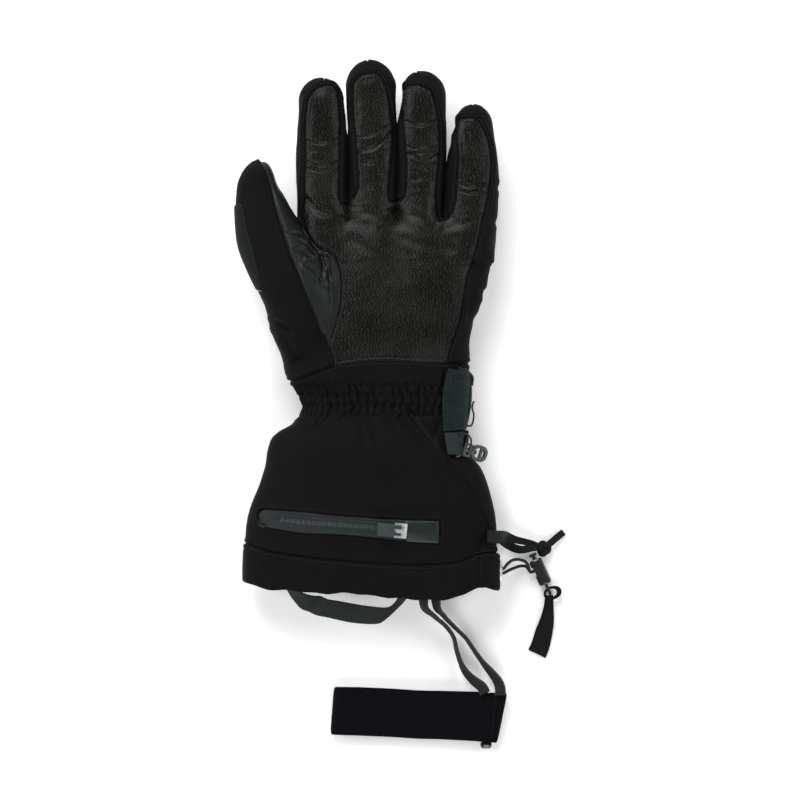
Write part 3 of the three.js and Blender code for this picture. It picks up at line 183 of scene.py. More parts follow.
def fingerForm(finger, x, y, z):
    rows, tip = finger["rows"], finger["tip"]
    share = (y - wristY) / length
    root, shoulder = rows["at"][0], rows["at"][-1]
    gaps = [-glove["crotchOverlap"] / 2 + (glove["crotchOverlap"] + glove["fingerGap"]) / 2
            * smoothStep(c - 0.02, c, share) for c in finger["crotches"]]
    left = readTable(rows, "at", "left", share) * palm + gaps[0]
    right = readTable(rows, "at", "right", share) * palm - gaps[1]
    along = (share - root) / (shoulder - root)
    middle = glove["fingerDepth"] * readTable(fingerCurl, "along", "lift", along)
    half = glove["fingerDepth"] * readTable(fingerCurl, "along", "depth", along) / 2
    past = np.maximum(share - shoulder, 0) / (tip - shoulder)
    body = ovalDistance(x - (left + right) / 2, z - middle, (right - left) / 2, half,
                        glove["fingerRound"], past)
    return np.maximum(body, handY(root - 0.02) - y)


def thumbForm(x, y, z):
    lean = math.radians(thumb["lean"])
    px, py = x - thumb["rootX"] * palm, y - handY(thumb["rootY"])
    along = -px * math.sin(lean) + py * math.cos(lean)
    share = along / glove["thumbLength"]
    bend = readTable(thumbRows, "along", "bend", share) * glove["thumbWidth"]
    side = px * math.cos(lean) + py * math.sin(lean) + bend
    wide = readTable(thumbRows, "along", "width", share) * glove["thumbWidth"] / 2
    high = readTable(thumbRows, "along", "depth", share) * glove["thumbDepth"] / 2
    middle = readTable(thumbRows, "along", "lift", share) * glove["thumbDepth"]
    shoulder = thumbRows["along"][-2]
    past = np.maximum(share - shoulder, 0) / (1 - shoulder)
    return np.maximum(ovalDistance(side, z - middle, wide, high, glove["thumbRound"], past), -along)


def handForm(x, y, z):
    digits = fingerForm(fingers["index"], x, y, z)
    for name in ("middle", "ring", "little"):
        digits = softMin(digits, fingerForm(fingers[name], x, y, z), glove["fingerBlend"])
    body = softMin(trunkForm(x, y, z), digits, glove["palmBlend"])
    body = softMin(body, thumbForm(x, y, z), glove["thumbBlend"])
    return -softMin(-body, z, glove["groundBlend"])


def surfaceNet(form, low, high, step):
    # A mesh of the form's surface: one point in each cell that the surface crosses.
    axes = [np.arange(a, b + step, step) for a, b in zip(low, high)]
    grid = np.meshgrid(*axes, indexing="ij")
    value = form(*grid)
    inside = value < 0
    shape = tuple(n - 1 for n in value.shape)

    def corner(block, offset):
        return block[tuple(slice(o, o + n) for o, n in zip(offset, shape))]

    offsets = [(i, j, k) for i in (0, 1) for j in (0, 1) for k in (0, 1)]
    count = sum(corner(inside, o).astype(np.int8) for o in offsets)
    mixed = (count > 0) & (count < 8)
    cells = np.argwhere(mixed)
    index = -np.ones(shape, np.int64)
    index[mixed] = np.arange(len(cells))
    total, hits = np.zeros((len(cells), 3)), np.zeros(len(cells))
    for a in offsets:
        for axis in range(3):
            if a[axis]:
                continue
            b = tuple(v + (n == axis) for n, v in enumerate(a))
            fa, fb = corner(value, a)[mixed], corner(value, b)[mixed]
            cross = (fa < 0) != (fb < 0)
            t = np.where(cross, fa / np.where(cross, fa - fb, 1), 0)
            place = np.array(a, float)[None] + t[:, None] * np.eye(3)[axis]
            total += place * cross[:, None]
            hits += cross
    points = (cells + total / hits[:, None]) * step + np.array(low)
    faces = []
    for axis in range(3):
        u, v = [(1, 2), (2, 0), (0, 1)][axis]
        first, second = (inside[tuple(part if n == axis else slice(None) for n in range(3))]
                         for part in (slice(0, -1), slice(1, None)))
        edge = np.argwhere(first != second)
        keep = (edge[:, u] > 0) & (edge[:, v] > 0) & (edge[:, u] < shape[u]) & (edge[:, v] < shape[v])
        edge = edge[keep]
        ring = []
        for du, dv in ((-1, -1), (0, -1), (0, 0), (-1, 0)):
            cell = edge.copy()
            cell[:, u] += du
            cell[:, v] += dv
            ring.append(index[tuple(cell.T)])
        quad = np.stack(ring, 1)
        flip = ~first[tuple(edge.T)]
        quad[flip] = quad[flip][:, ::-1]
        faces.append(quad)
    return points, np.concatenate(faces)


def slopeOf(form, points, reach=0.05):
    x, y, z = points.T
    return np.stack([form(x + reach, y, z) - form(x - reach, y, z),
                     form(x, y + reach, z) - form(x, y - reach, z),
                     form(x, y, z + reach) - form(x, y, z - reach)], 1) / (2 * reach)


def ontoForm(form, points, rounds=3):
    for _ in range(rounds):
        slope = slopeOf(form, points)
        steep = np.maximum((slope ** 2).sum(1), 0.05)
        move = slope * (form(*points.T) / steep)[:, None]
        size = np.linalg.norm(move, axis=1)
        points = points - move * np.minimum(1, 1 / np.maximum(size, 1e-9))[:, None]
    return points


def neighbourMean(count, faces, points):
    edges = np.concatenate([faces[:, [i, (i + 1) % faces.shape[1]]] for i in range(faces.shape[1])])
    both = np.concatenate([edges, edges[:, ::-1]])
    total = np.stack([np.bincount(both[:, 0], points[both[:, 1], k], count)
                      for k in range(points.shape[1])], 1)
    near = np.maximum(np.bincount(both[:, 0], minlength=count), 1)
    return total / near[:, None]


def unit(v):
    return v / np.maximum(np.linalg.norm(v, axis=-1, keepdims=True), 1e-9)


def triangles(quads):
    return np.concatenate([quads[:, [0, 1, 2]], quads[:, [0, 2, 3]]])


def pointNormals(points, faces):
    a, b, c = (points[faces[:, i]] for i in range(3))
    n = np.cross(b - a, c - a)
    total = np.stack([sum(np.bincount(faces[:, i], n[:, k], len(points)) for i in range(3))
                      for k in range(3)], 1)
    return unit(total)


def lineDistance(line, x, y, closed=True):
    # Signed distance to an outline, below nothing inside it; for an open line, the plain distance.
    line = np.asarray(line, float)
    ends = np.roll(line, -1, 0) if closed else line[1:]
    starts = line if closed else line[:-1]
    near = np.full(x.shape, 1e9)
    odd = np.zeros(x.shape, bool)
    for (ax, ay), (bx, by) in zip(starts, ends):
        ex, ey = bx - ax, by - ay
        t = np.clip(((x - ax) * ex + (y - ay) * ey) / max(ex * ex + ey * ey, 1e-9), 0, 1)
        near = np.minimum(near, np.hypot(x - ax - t * ex, y - ay - t * ey))
        if closed and ay != by:
            odd ^= ((ay > y) != (by > y)) & (x < ax + (y - ay) * ex / (by - ay))
    return np.where(odd, -near, near) if closed else near


def smoothLine(points, closed=False, step=1.0):
    # A smooth curve through the points, with a point every step.
    pts = np.asarray(points, float)
    count = len(pts)
    out = []
    for i in range(count if closed else count - 1):
        p = [pts[(i + k) % count] if closed else pts[min(max(i + k, 0), count - 1)] for k in (-1, 0, 1, 2)]
        span = max(np.linalg.norm(p[2] - p[1]), 1e-6)
        before, after = max(np.linalg.norm(p[1] - p[0]), 1e-6), max(np.linalg.norm(p[3] - p[2]), 1e-6)
        mb = (p[2] - p[0]) / (before + span) * span if before > 1e-5 else p[2] - p[1]
        mc = (p[3] - p[1]) / (after + span) * span if after > 1e-5 else p[2] - p[1]
        for t in np.arange(0, 1, 1 / max(int(round(span / step)), 1)):
            out.append((2 * t ** 3 - 3 * t ** 2 + 1) * p[1] + (t ** 3 - 2 * t ** 2 + t) * mb
                       + (3 * t ** 2 - 2 * t ** 3) * p[2] + (t ** 3 - t ** 2) * mc)
    if not closed:
        out.append(pts[-1])
    return np.array(out)


def cutMesh(points, faces, g):
    # Splits triangles along g = 0. Points very near the line count as lying on it.
    g = np.where(np.abs(g) < 0.03, 0, g)
    edges = {}
    newPoints, made = list(points), []
    sign = np.sign(g)
    plain = (sign[faces].max(1) <= 0) | (sign[faces].min(1) >= 0)
    out = [faces[plain]]
    for face in faces[~plain]:
        s = sign[face]
        if 0 in s:
            k = int(np.argmin(np.abs(s)))
            a, b, c = face[k], face[(k + 1) % 3], face[(k + 2) % 3]
            m = splitEdge(points, g, edges, newPoints, b, c)
            made += [(a, b, m), (a, m, c)]
        else:
            k = int(np.argmax(s != (1 if s.sum() > 0 else -1)))
            a, b, c = face[k], face[(k + 1) % 3], face[(k + 2) % 3]
            m = splitEdge(points, g, edges, newPoints, a, b)
            n = splitEdge(points, g, edges, newPoints, a, c)
            made += [(a, m, n), (m, b, c), (m, c, n)]
    if made:
        out.append(np.array(made))
    return np.array(newPoints), np.concatenate(out)


def splitEdge(points, g, edges, newPoints, a, b):
    key = (min(a, b), max(a, b))
    if key not in edges:
        t = g[a] / (g[a] - g[b])
        edges[key] = len(newPoints)
        newPoints.append(points[a] * (1 - t) + points[b] * t)
    return edges[key]


def keepFaces(points, faces, keep):
    faces = faces[keep]
    used = np.unique(faces)
    index = -np.ones(len(points), np.int64)
    index[used] = np.arange(len(used))
    return points[used], index[faces], used


def splitFaces(points, faces):
    # Each triangle into four.
    edges = np.sort(np.concatenate([faces[:, [0, 1]], faces[:, [1, 2]], faces[:, [2, 0]]]), 1)
    unique, back = np.unique(edges, axis=0, return_inverse=True)
    middle = points[unique].mean(1)
    ab, bc, ca = (len(points) + back.reshape(3, -1))
    a, b, c = faces.T
    return np.concatenate([points, middle]), np.concatenate([
        np.stack(t, 1) for t in ((a, ab, ca), (ab, b, bc), (ca, bc, c), (ab, bc, ca))])


def newGroup(name, inputs, outputs):
    group = bpy.data.node_groups.new(name, "ShaderNodeTree")
    for kind, title, value in inputs:
        socket = group.interface.new_socket(title, in_out="INPUT", socket_type="NodeSocket" + kind)
        if value is not None:
            socket.default_value = value
    for kind, title in outputs:
        group.interface.new_socket(title, in_out="OUTPUT", socket_type="NodeSocket" + kind)
    return group, group.nodes.new("NodeGroupInput"), group.nodes.new("NodeGroupOutput")


def node(tree, kind, settings=None, **values):
    # Adds a node; values set its inputs by name, a socket links and anything else is set.
    made = tree.nodes.new("ShaderNode" + kind)
    for key, value in (settings or {}).items():
        setattr(made, key, value)
    for key, value in values.items():
        name = key.replace("_", " ")
        socket = made.inputs[int(name[1:])] if name[0] == "i" and name[1:].isdigit() else made.inputs[name]
        if isinstance(value, bpy.types.NodeSocket):
            tree.links.new(value, socket)
        else:
            socket.default_value = value
    return made


def calc(tree, operation, a, b=0.0, c=0.0):
    return node(tree, "Math", {"operation": operation}, i0=a, i1=b, i2=c).outputs[0]


def mixColour(tree, amount, a, b):
    made = node(tree, "Mix", {"data_type": "RGBA"})
    for socket, value in ((made.inputs[0], amount), (made.inputs[6], a), (made.inputs[7], b)):
        if isinstance(value, bpy.types.NodeSocket):
            tree.links.new(value, socket)
        else:
            socket.default_value = value
    return made.outputs[2]


def ramp(tree, value, low, high, outLow=0.0, outHigh=1.0):
    made = node(tree, "MapRange", {"interpolation_type": "SMOOTHSTEP"}, Value=value)
    for name, number in (("From Min", low), ("From Max", high), ("To Min", outLow), ("To Max", outHigh)):
        made.inputs[name].default_value = number
    return made.outputs[0]


def leatherGrainGroup():
    # Pebbles with creases between them, broken by larger folds; Size is one pebble in millimetres.
    group, inp, out = newGroup("leatherGrain", [("Vector", "Place", None), ("Float", "Size", 1.0),
                               ("Float", "Stretch", 0.5), ("Float", "Edge", 0.18)],
                               [("Float", "Height"), ("Float", "Tone"), ("Float", "Gloss")])
    scale = calc(group, "DIVIDE", 1000.0, inp.outputs["Size"])
    wander = node(group, "TexNoise", Vector=inp.outputs["Place"], Scale=260.0, Detail=2.0).outputs["Color"]
    moved = node(group, "VectorMath", {"operation": "MULTIPLY_ADD"}, i0=wander, i1=(0.0006, 0.0006, 0.0006),
                 i2=inp.outputs["Place"]).outputs[0]
    moved = node(group, "VectorMath", {"operation": "MULTIPLY"}, i0=moved, i1=(0.6, 1.0, 1.0)).outputs[0]
    cell = node(group, "TexVoronoi", {"feature": "DISTANCE_TO_EDGE", "voronoi_dimensions": "2D"},
                Vector=moved, Scale=scale).outputs["Distance"]
    small = node(group, "TexVoronoi", {"feature": "F1"}, Vector=moved,
                 Scale=calc(group, "MULTIPLY", scale, 2.3)).outputs["Distance"]
    pebble = node(group, "MapRange", {"interpolation_type": "SMOOTHSTEP"}, Value=cell, From_Min=0.02,
                  From_Max=inp.outputs["Edge"]).outputs[0]
    flow = node(group, "Mapping", Vector=inp.outputs["Place"])
    flow.inputs["Scale"].default_value = (0.35, 1.0, 1.0)
    creases = node(group, "TexNoise", {"noise_type": "RIDGED_MULTIFRACTAL", "normalize": False},
                   Vector=flow.outputs[0], Scale=420.0, Detail=3.0, Roughness=0.5).outputs["Fac"]
    crease = ramp(group, creases, 0.9, 1.9)
    broad = node(group, "TexNoise", Vector=inp.outputs["Place"], Scale=38.0, Detail=3.0).outputs["Fac"]
    height = calc(group, "MULTIPLY_ADD", small, -0.25, pebble)
    stretched = calc(group, "MULTIPLY", crease, inp.outputs["Stretch"])
    height = calc(group, "MULTIPLY_ADD", stretched, -0.5, height)
    group.links.new(height, out.inputs["Height"])
    tone = calc(group, "MULTIPLY_ADD", pebble, 0.5, calc(group, "MULTIPLY", broad, 0.6))
    group.links.new(tone, out.inputs["Tone"])
    group.links.new(calc(group, "MULTIPLY_ADD", broad, 0.5, calc(group, "MULTIPLY", pebble, 0.3)),
                    out.inputs["Gloss"])
    return group


def clothWeaveGroup():
    # A fine twill, rubbed smooth in places; Pitch is one rib in millimetres.
    group, inp, out = newGroup("clothWeave", [("Vector", "Place", None), ("Float", "Pitch", 0.5)],
                               [("Float", "Height"), ("Float", "Tone")])
    split = node(group, "SeparateXYZ", Vector=inp.outputs["Place"])
    turn = calc(group, "DIVIDE", 2 * math.pi * 1000, inp.outputs["Pitch"])

    def threads(first, second, lean):
        slanted = calc(group, "ADD", first, calc(group, "MULTIPLY", second, lean))
        return calc(group, "SINE", calc(group, "MULTIPLY", slanted, turn))

    weave = calc(group, "MULTIPLY", threads(split.outputs[0], split.outputs[1], 0.45),
                 threads(split.outputs[1], split.outputs[2], 0.7))
    slub = node(group, "TexNoise", Vector=inp.outputs["Place"], Scale=900.0, Detail=3.0).outputs["Fac"]
    broad = node(group, "TexNoise", Vector=inp.outputs["Place"], Scale=24.0, Detail=4.0).outputs["Fac"]
    height = calc(group, "MULTIPLY_ADD", slub, 0.9, calc(group, "MULTIPLY", weave, 0.35))
    group.links.new(height, out.inputs["Height"])
    tone = calc(group, "ADD", calc(group, "MULTIPLY", slub, 0.55),
                calc(group, "MULTIPLY", broad, 0.45))
    group.links.new(tone, out.inputs["Tone"])
    return group


def ribsGroup():
    # Ribs of a woven tape from its UV map in millimetres: Pitch along it, and fine threads across.
    group, inp, out = newGroup("tapeRibs", [("Vector", "Along", None), ("Float", "Pitch", 1.0),
                               ("Float", "Slant", 0.0)], [("Float", "Height"), ("Float", "Tone")])
    split = node(group, "SeparateXYZ", Vector=inp.outputs["Along"])
    slanted = calc(group, "MULTIPLY_ADD", split.outputs[0], inp.outputs["Slant"], split.outputs[1])
    turn = calc(group, "DIVIDE", 2 * math.pi, inp.outputs["Pitch"])
    rib = calc(group, "SINE", calc(group, "MULTIPLY", slanted, turn))
    fineTurn = calc(group, "MULTIPLY", turn, 1.7)
    thread = calc(group, "SINE", calc(group, "MULTIPLY", split.outputs[0], fineTurn))
    fuzz = node(group, "TexNoise", Vector=inp.outputs["Along"], Scale=2.5, Detail=3.0).outputs["Fac"]
    height = calc(group, "MULTIPLY_ADD", thread, 0.3,
                  calc(group, "MULTIPLY_ADD", fuzz, 0.6, rib))
    group.links.new(height, out.inputs["Height"])
    tone = calc(group, "MULTIPLY_ADD", rib, 0.22, calc(group, "MULTIPLY", fuzz, 0.9))
    group.links.new(tone, out.inputs["Tone"])
    return group


leatherGrain, clothWeave, tapeRibs = leatherGrainGroup(), clothWeaveGroup(), ribsGroup()


def newMaterial(name):
    material = bpy.data.materials.new(name)
    material.use_nodes = True
    tree = material.node_tree
    return material, tree, tree.nodes["Principled BSDF"]


def finish(tree, shader, colours, tone, height, strength, distance, rough, roughBy=None, **fixed):
    # Wires a surface: two colours mixed by tone, a bump and a roughness range.
    tree.links.new(mixColour(tree, ramp(tree, tone, 0.25, 0.85), (*colours[0], 1), (*colours[1], 1)),
                   shader.inputs["Base Color"])
    bump = node(tree, "Bump", Height=height, Strength=strength, Distance=distance)
    tree.links.new(bump.outputs[0], shader.inputs["Normal"])
    roughness = ramp(tree, tone if roughBy is None else roughBy, 0.2, 0.9, *rough)
    tree.links.new(roughness, shader.inputs["Roughness"])
    for key, value in fixed.items():
        shader.inputs[key.replace("_", " ")].default_value = value


patternDepth = {"leather": 0.00016, "cloth": 0.00018, "tape": 0.00018, "plastic": 0.0002}  # metres


def leatherMaterial(name, colours, size, strength, rough, stretch=0.5, edge=0.18, **fixed):
    # size is one pebble in millimetres, and edge how wide the creases round it are.
    material, tree, shader = newMaterial(name)
    place = node(tree, "TexCoord").outputs["Object"]
    grain = node(tree, "Group", {"node_tree": leatherGrain}, Place=place, Size=size, Stretch=stretch,
                 Edge=edge)
    finish(tree, shader, colours, grain.outputs["Tone"], grain.outputs["Height"], strength,
           patternDepth["leather"], rough, grain.outputs["Gloss"], **fixed)
    return material


def clothMaterial(name, colours, pitch, strength, rough, **fixed):
    material, tree, shader = newMaterial(name)
    place = node(tree, "TexCoord").outputs["Object"]
    weave = node(tree, "Group", {"node_tree": clothWeave}, Place=place, Pitch=pitch)
    finish(tree, shader, colours, weave.outputs["Tone"], weave.outputs["Height"], strength,
           patternDepth["cloth"], rough, **fixed)
    return material


def tapeMaterial(name, colours, pitch, slant, strength, rough, edge=None, **fixed):
    # edge gives the half width where a lighter selvedge begins, and its colour.
    material, tree, shader = newMaterial(name)
    along = node(tree, "UVMap").outputs[0]
    ribs = node(tree, "Group", {"node_tree": tapeRibs}, Along=along, Pitch=pitch, Slant=slant)
    finish(tree, shader, colours, ribs.outputs["Tone"], ribs.outputs["Height"], strength,
           patternDepth["tape"], rough, **fixed)
    if edge:
        off = calc(tree, "ABSOLUTE", node(tree, "SeparateXYZ", Vector=along).outputs[0])
        middle = shader.inputs["Base Color"].links[0].from_socket
        atEdge = ramp(tree, off, edge[0] - 0.3, edge[0] + 0.3)
        tree.links.new(mixColour(tree, atEdge, middle, (*edge[1], 1)), shader.inputs["Base Color"])
    return material


def plasticMaterial(name, colours, rough, **fixed):
    material, tree, shader = newMaterial(name)
    place = node(tree, "TexCoord").outputs["Object"]
    speck = node(tree, "TexNoise", Vector=place, Scale=1500.0, Detail=2.0).outputs["Fac"]
    broad = node(tree, "TexNoise", Vector=place, Scale=120.0, Detail=3.0).outputs["Fac"]
    tone = calc(tree, "MULTIPLY_ADD", speck, 0.5, calc(tree, "MULTIPLY", broad, 0.6))
    finish(tree, shader, colours, tone, speck, 0.12, patternDepth["plastic"], rough, broad, **fixed)
    return material


softshell = clothMaterial("softshell", ((0.0024, 0.0023, 0.0026), (0.0050, 0.0048, 0.0054)), 0.55, 0.45,
                          (0.66, 0.84), Specular_IOR_Level=0.07, Sheen_Weight=0.010,
                          Sheen_Roughness=0.3)
lining = clothMaterial("lining", ((0.006, 0.006, 0.007), (0.012, 0.012, 0.013)), 0.9, 0.5, (0.85, 0.98),
                       Specular_IOR_Level=0.1)
palmHide = leatherMaterial("palmHide", ((0.0001, 0.0002, 0.0001), (0.0180, 0.0185, 0.0146)), 1.25, 0.45,
                           (0.34, 0.46), 0.15, 0.36, Specular_IOR_Level=0.14)
thumbHide = leatherMaterial("thumbHide", ((0.0012, 0.0020, 0.0022), (0.0088, 0.0110, 0.0115)), 1.1,
                            0.35, (0.38, 0.5), 0.15, Specular_IOR_Level=0.22)
greyHide = leatherMaterial("greyHide", ((0.0001, 0.0008, 0.0011), (0.0112, 0.0200, 0.0220)), 1.15, 0.6,
                           (0.42, 0.54), 0.2, Specular_IOR_Level=0.1)
smoothHide = leatherMaterial("smoothHide", ((0.0125, 0.0180, 0.0185), (0.0230, 0.0300, 0.0305)), 0.5,
                             0.15, (0.6, 0.75), 0.1, Specular_IOR_Level=0.1)
garageHide = leatherMaterial("garageHide", ((0.0060, 0.0098, 0.0098), (0.0140, 0.0200, 0.0200)), 0.5,
                             0.12, (0.32, 0.44), 0.1, Specular_IOR_Level=0.26)
suede = clothMaterial("suede", ((0.0040, 0.0053, 0.0058), (0.0088, 0.0108, 0.0114)), 0.4, 0.3,
                      (0.85, 0.98), Specular_IOR_Level=0.1, Sheen_Weight=0.02)
darkThread = tapeMaterial("darkThread", ((0.004, 0.004, 0.004), (0.010, 0.010, 0.011)), 0.4, 1.0, 0.3,
                          (0.5, 0.7), Specular_IOR_Level=0.3)
clothThread = tapeMaterial("clothThread", ((0.006, 0.006, 0.007), (0.024, 0.023, 0.027)), 0.4, 1.0, 0.3,
                           (0.6, 0.8), Specular_IOR_Level=0.3)
greyThread = tapeMaterial("greyThread", ((0.035, 0.035, 0.038), (0.085, 0.085, 0.09)), 0.4, 1.0, 0.3,
                          (0.6, 0.8), Specular_IOR_Level=0.3)
greyTape = tapeMaterial("greyTape", ((0.0070, 0.0108, 0.0112), (0.0235, 0.0310, 0.0315)), 0.7, 0.0, 0.6,
                        (0.45, 0.62), Specular_IOR_Level=0.2)
sideTape = tapeMaterial("sideTape", ((0.0030, 0.0058, 0.0060), (0.0130, 0.0180, 0.0182)), 0.7, 0.0, 0.6,
                        (0.5, 0.66), Specular_IOR_Level=0.14)
coilTape = tapeMaterial("coilTape", ((0.030, 0.041, 0.042), (0.060, 0.076, 0.077)), 0.7, 0.0, 0.4,
                        (0.4, 0.55), Specular_IOR_Level=0.25)
webbing = tapeMaterial("webbing", ((0.005, 0.006, 0.007), (0.030, 0.033, 0.036)), 1.3, 0.8, 0.9,
                       (0.6, 0.8), (2.7, (0.034, 0.040, 0.043)), Specular_IOR_Level=0.16)
pullTwill = tapeMaterial("pullTwill", ((0.0002, 0.0002, 0.0004), (0.0185, 0.0190, 0.0200)), 1.9, 1.0,
                         0.9, (0.6, 0.8), Specular_IOR_Level=0.08)
elastic = tapeMaterial("elastic", ((0.0022, 0.0022, 0.0034), (0.0052, 0.0052, 0.0072)), 0.9, 0.0, 0.6,
                       (0.85, 0.98), Specular_IOR_Level=0.06)
braid = tapeMaterial("braid", ((0.008, 0.008, 0.008), (0.045, 0.045, 0.042)), 1.1, 1.2, 0.9, (0.6, 0.8),
                     Specular_IOR_Level=0.3)
lockPlastic = plasticMaterial("lockPlastic", ((0.008, 0.009, 0.010), (0.020, 0.022, 0.024)),
                              (0.18, 0.32), Specular_IOR_Level=0.55)
hookPlastic = plasticMaterial("hookPlastic", ((0.022, 0.030, 0.032), (0.058, 0.072, 0.075)),
                              (0.35, 0.5), Specular_IOR_Level=0.5)
gripPlastic = plasticMaterial("gripPlastic", ((0.024, 0.031, 0.033), (0.042, 0.051, 0.053)),
                              (0.4, 0.55), Specular_IOR_Level=0.4)
steel = plasticMaterial("steel", ((0.76, 0.77, 0.78), (0.9, 0.91, 0.92)), (0.34, 0.5), Metallic=1.0)
print("materials made")


def addPiece(name, points, faces, material, uv=None):
    # Makes an object from points in millimetres; nothing goes below the floor.
    mesh = bpy.data.meshes.new(name)
    place = toRow(points)
    place[:, 2] = np.maximum(place[:, 2], 0.00002)
    faces = [tuple(int(i) for i in f) for f in faces]
    mesh.from_pydata(place.tolist(), [], faces)
    if uv is not None:
        layer = mesh.uv_layers.new(name="UVMap")
        index = np.zeros(len(mesh.loops), np.int32)
        mesh.loops.foreach_get("vertex_index", index)
        layer.data.foreach_set("uv", np.asarray(uv, np.float32)[index].ravel())
    mesh.polygons.foreach_set("use_smooth", [True] * len(mesh.polygons))
    mesh.materials.append(material)
    mesh.update()
    piece = bpy.data.objects.new(name, mesh)
    bpy.context.scene.collection.objects.link(piece)
    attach(piece, "glove")
    return piece


# Outlines on the hand's front, in millimetres from above.
frontOutline = smoothLine([
    (-43.4, -48.7), (-41.2, -38.6), (-38.6, -29.7), (-36.7, -20.8), (-36.3, -12), (-36.6, -1.8), (-38.6, 5.1),
    (-41.2, 9.6), (-45, 12.1), (-49.4, 13.7), (-55.1, 19.7), (-59.5, 26), (-60.8, 33.6), (-60.4, 45),
    (-59.8, 58.9), (-58.9, 72.2), (-59.3, 87.4), (-58.8, 98.8), (-57.3, 108.3), (-55.1, 112.8), (-51.5, 116.2),
    (-46.2, 118.1), (-41, 117.3), (-38, 113.6), (-36.7, 107.2), (-35.9, 97.8), (-36.1, 81.1), (-36.9, 57.7),
    (-36.7, 46.3), (-35.1, 42.9), (-31.5, 43.9), (-27.2, 49.3), (-25.5, 55.1), (-26.7, 72.4), (-27.7, 85.1),
    (-29.1, 97.8), (-29.4, 113.6), (-28.5, 118.5), (-25.1, 123.1), (-18.8, 125.5), (-12.5, 124.9), (-9.3, 120.5),
    (-6.6, 113.6), (-4, 100.1), (-3, 89.3), (-3.5, 72.4), (-5.1, 55.8), (-5.3, 46.3), (-4, 44.5), (1.3, 45),
    (3.9, 49.4), (4.6, 66.1), (3.6, 83), (2.3, 95.7), (1.8, 108.3), (2.3, 113.6), (5.5, 117.2), (11.8, 118.3),
    (18.2, 116.7), (21.8, 113.6), (23.4, 107.2), (25.5, 97.8), (26.6, 87.4), (26.8, 76.7), (25, 57.7),
    (25, 39.9), (26.6, 31.8), (31.3, 33.9), (35, 41.2), (36.9, 55.8), (37.7, 72.4), (36.6, 85.1), (36.7, 92.5),
    (38.7, 96.3), (44.5, 97.4), (49.8, 96.4), (54, 90.4), (57.7, 80.9), (59.1, 70.3), (58.8, 59.8), (56.7, 45),
    (53.5, 30.5), (50, 14.6), (43.7, -6.3), (41.2, -21.5), (38.5, -34.8), (33.6, -48.7), (31.7, -57.5),
    (31, -72), (-38, -72), (-40.5, -58.2)], closed=True)

# How far right the thumb's side of the hand reaches, by height.
thumbEdge = np.array([
    (-100, -40.5), (-58.2, -40.5), (-48.7, -43.4), (-38.6, -41.2), (-29.7, -38.6), (-20.8, -36.7), (-12, -36.3),
    (-1.8, -36.6), (5.1, -38.6), (9.6, -41.2), (12.1, -45), (13.7, -49.4), (19.7, -55.1), (26, -60.2),
    (30, -63), (36, -65), (45, -65.6), (60, -66.6), (140, -66)])
thumbSeam = smoothLine([
    (-42.3, -52), (-43.4, -48.7), (-50, -34.8), (-56.3, -19.6), (-62.7, -3.1), (-69, 13.4), (-72.8, 26),
    (-76.8, 40), (-79, 50), (-81, 57.5), (-83, 63.6), (-86.5, 70.5)])
wiperSeam = smoothLine([
    (-98.6, 42.4), (-98.1, 40.6), (-95.6, 27.3), (-90.5, 8.3), (-86.1, -11.3), (-85.8, -12.6)])
edgeRows = columns(("across", "seam", "hemTop", "hemFoot"), [
    (-0.5, -0.04, 0.729, 0.901), (-0.4, -0.045, 0.773, 0.946), (-0.276, -0.08, 0.798, 0.956),
    (-0.12, -0.148, 0.82, 0.966), (0.041, -0.168, 0.835, 0.978), (0.202, -0.16, 0.84, 1),
    (0.347, -0.155, 0.825, 0.98), (0.42, -0.155, 0.788, 0.941), (0.5, -0.155, 0.778, 0.946)])


def edgeY(name, x):
    return cuffY(readTable(edgeRows, "across", name, (x - glove["cuffMiddle"]) / cuffWide))


def thumbEdgeX(y):
    return np.interp(y, thumbEdge[:, 0], thumbEdge[:, 1])


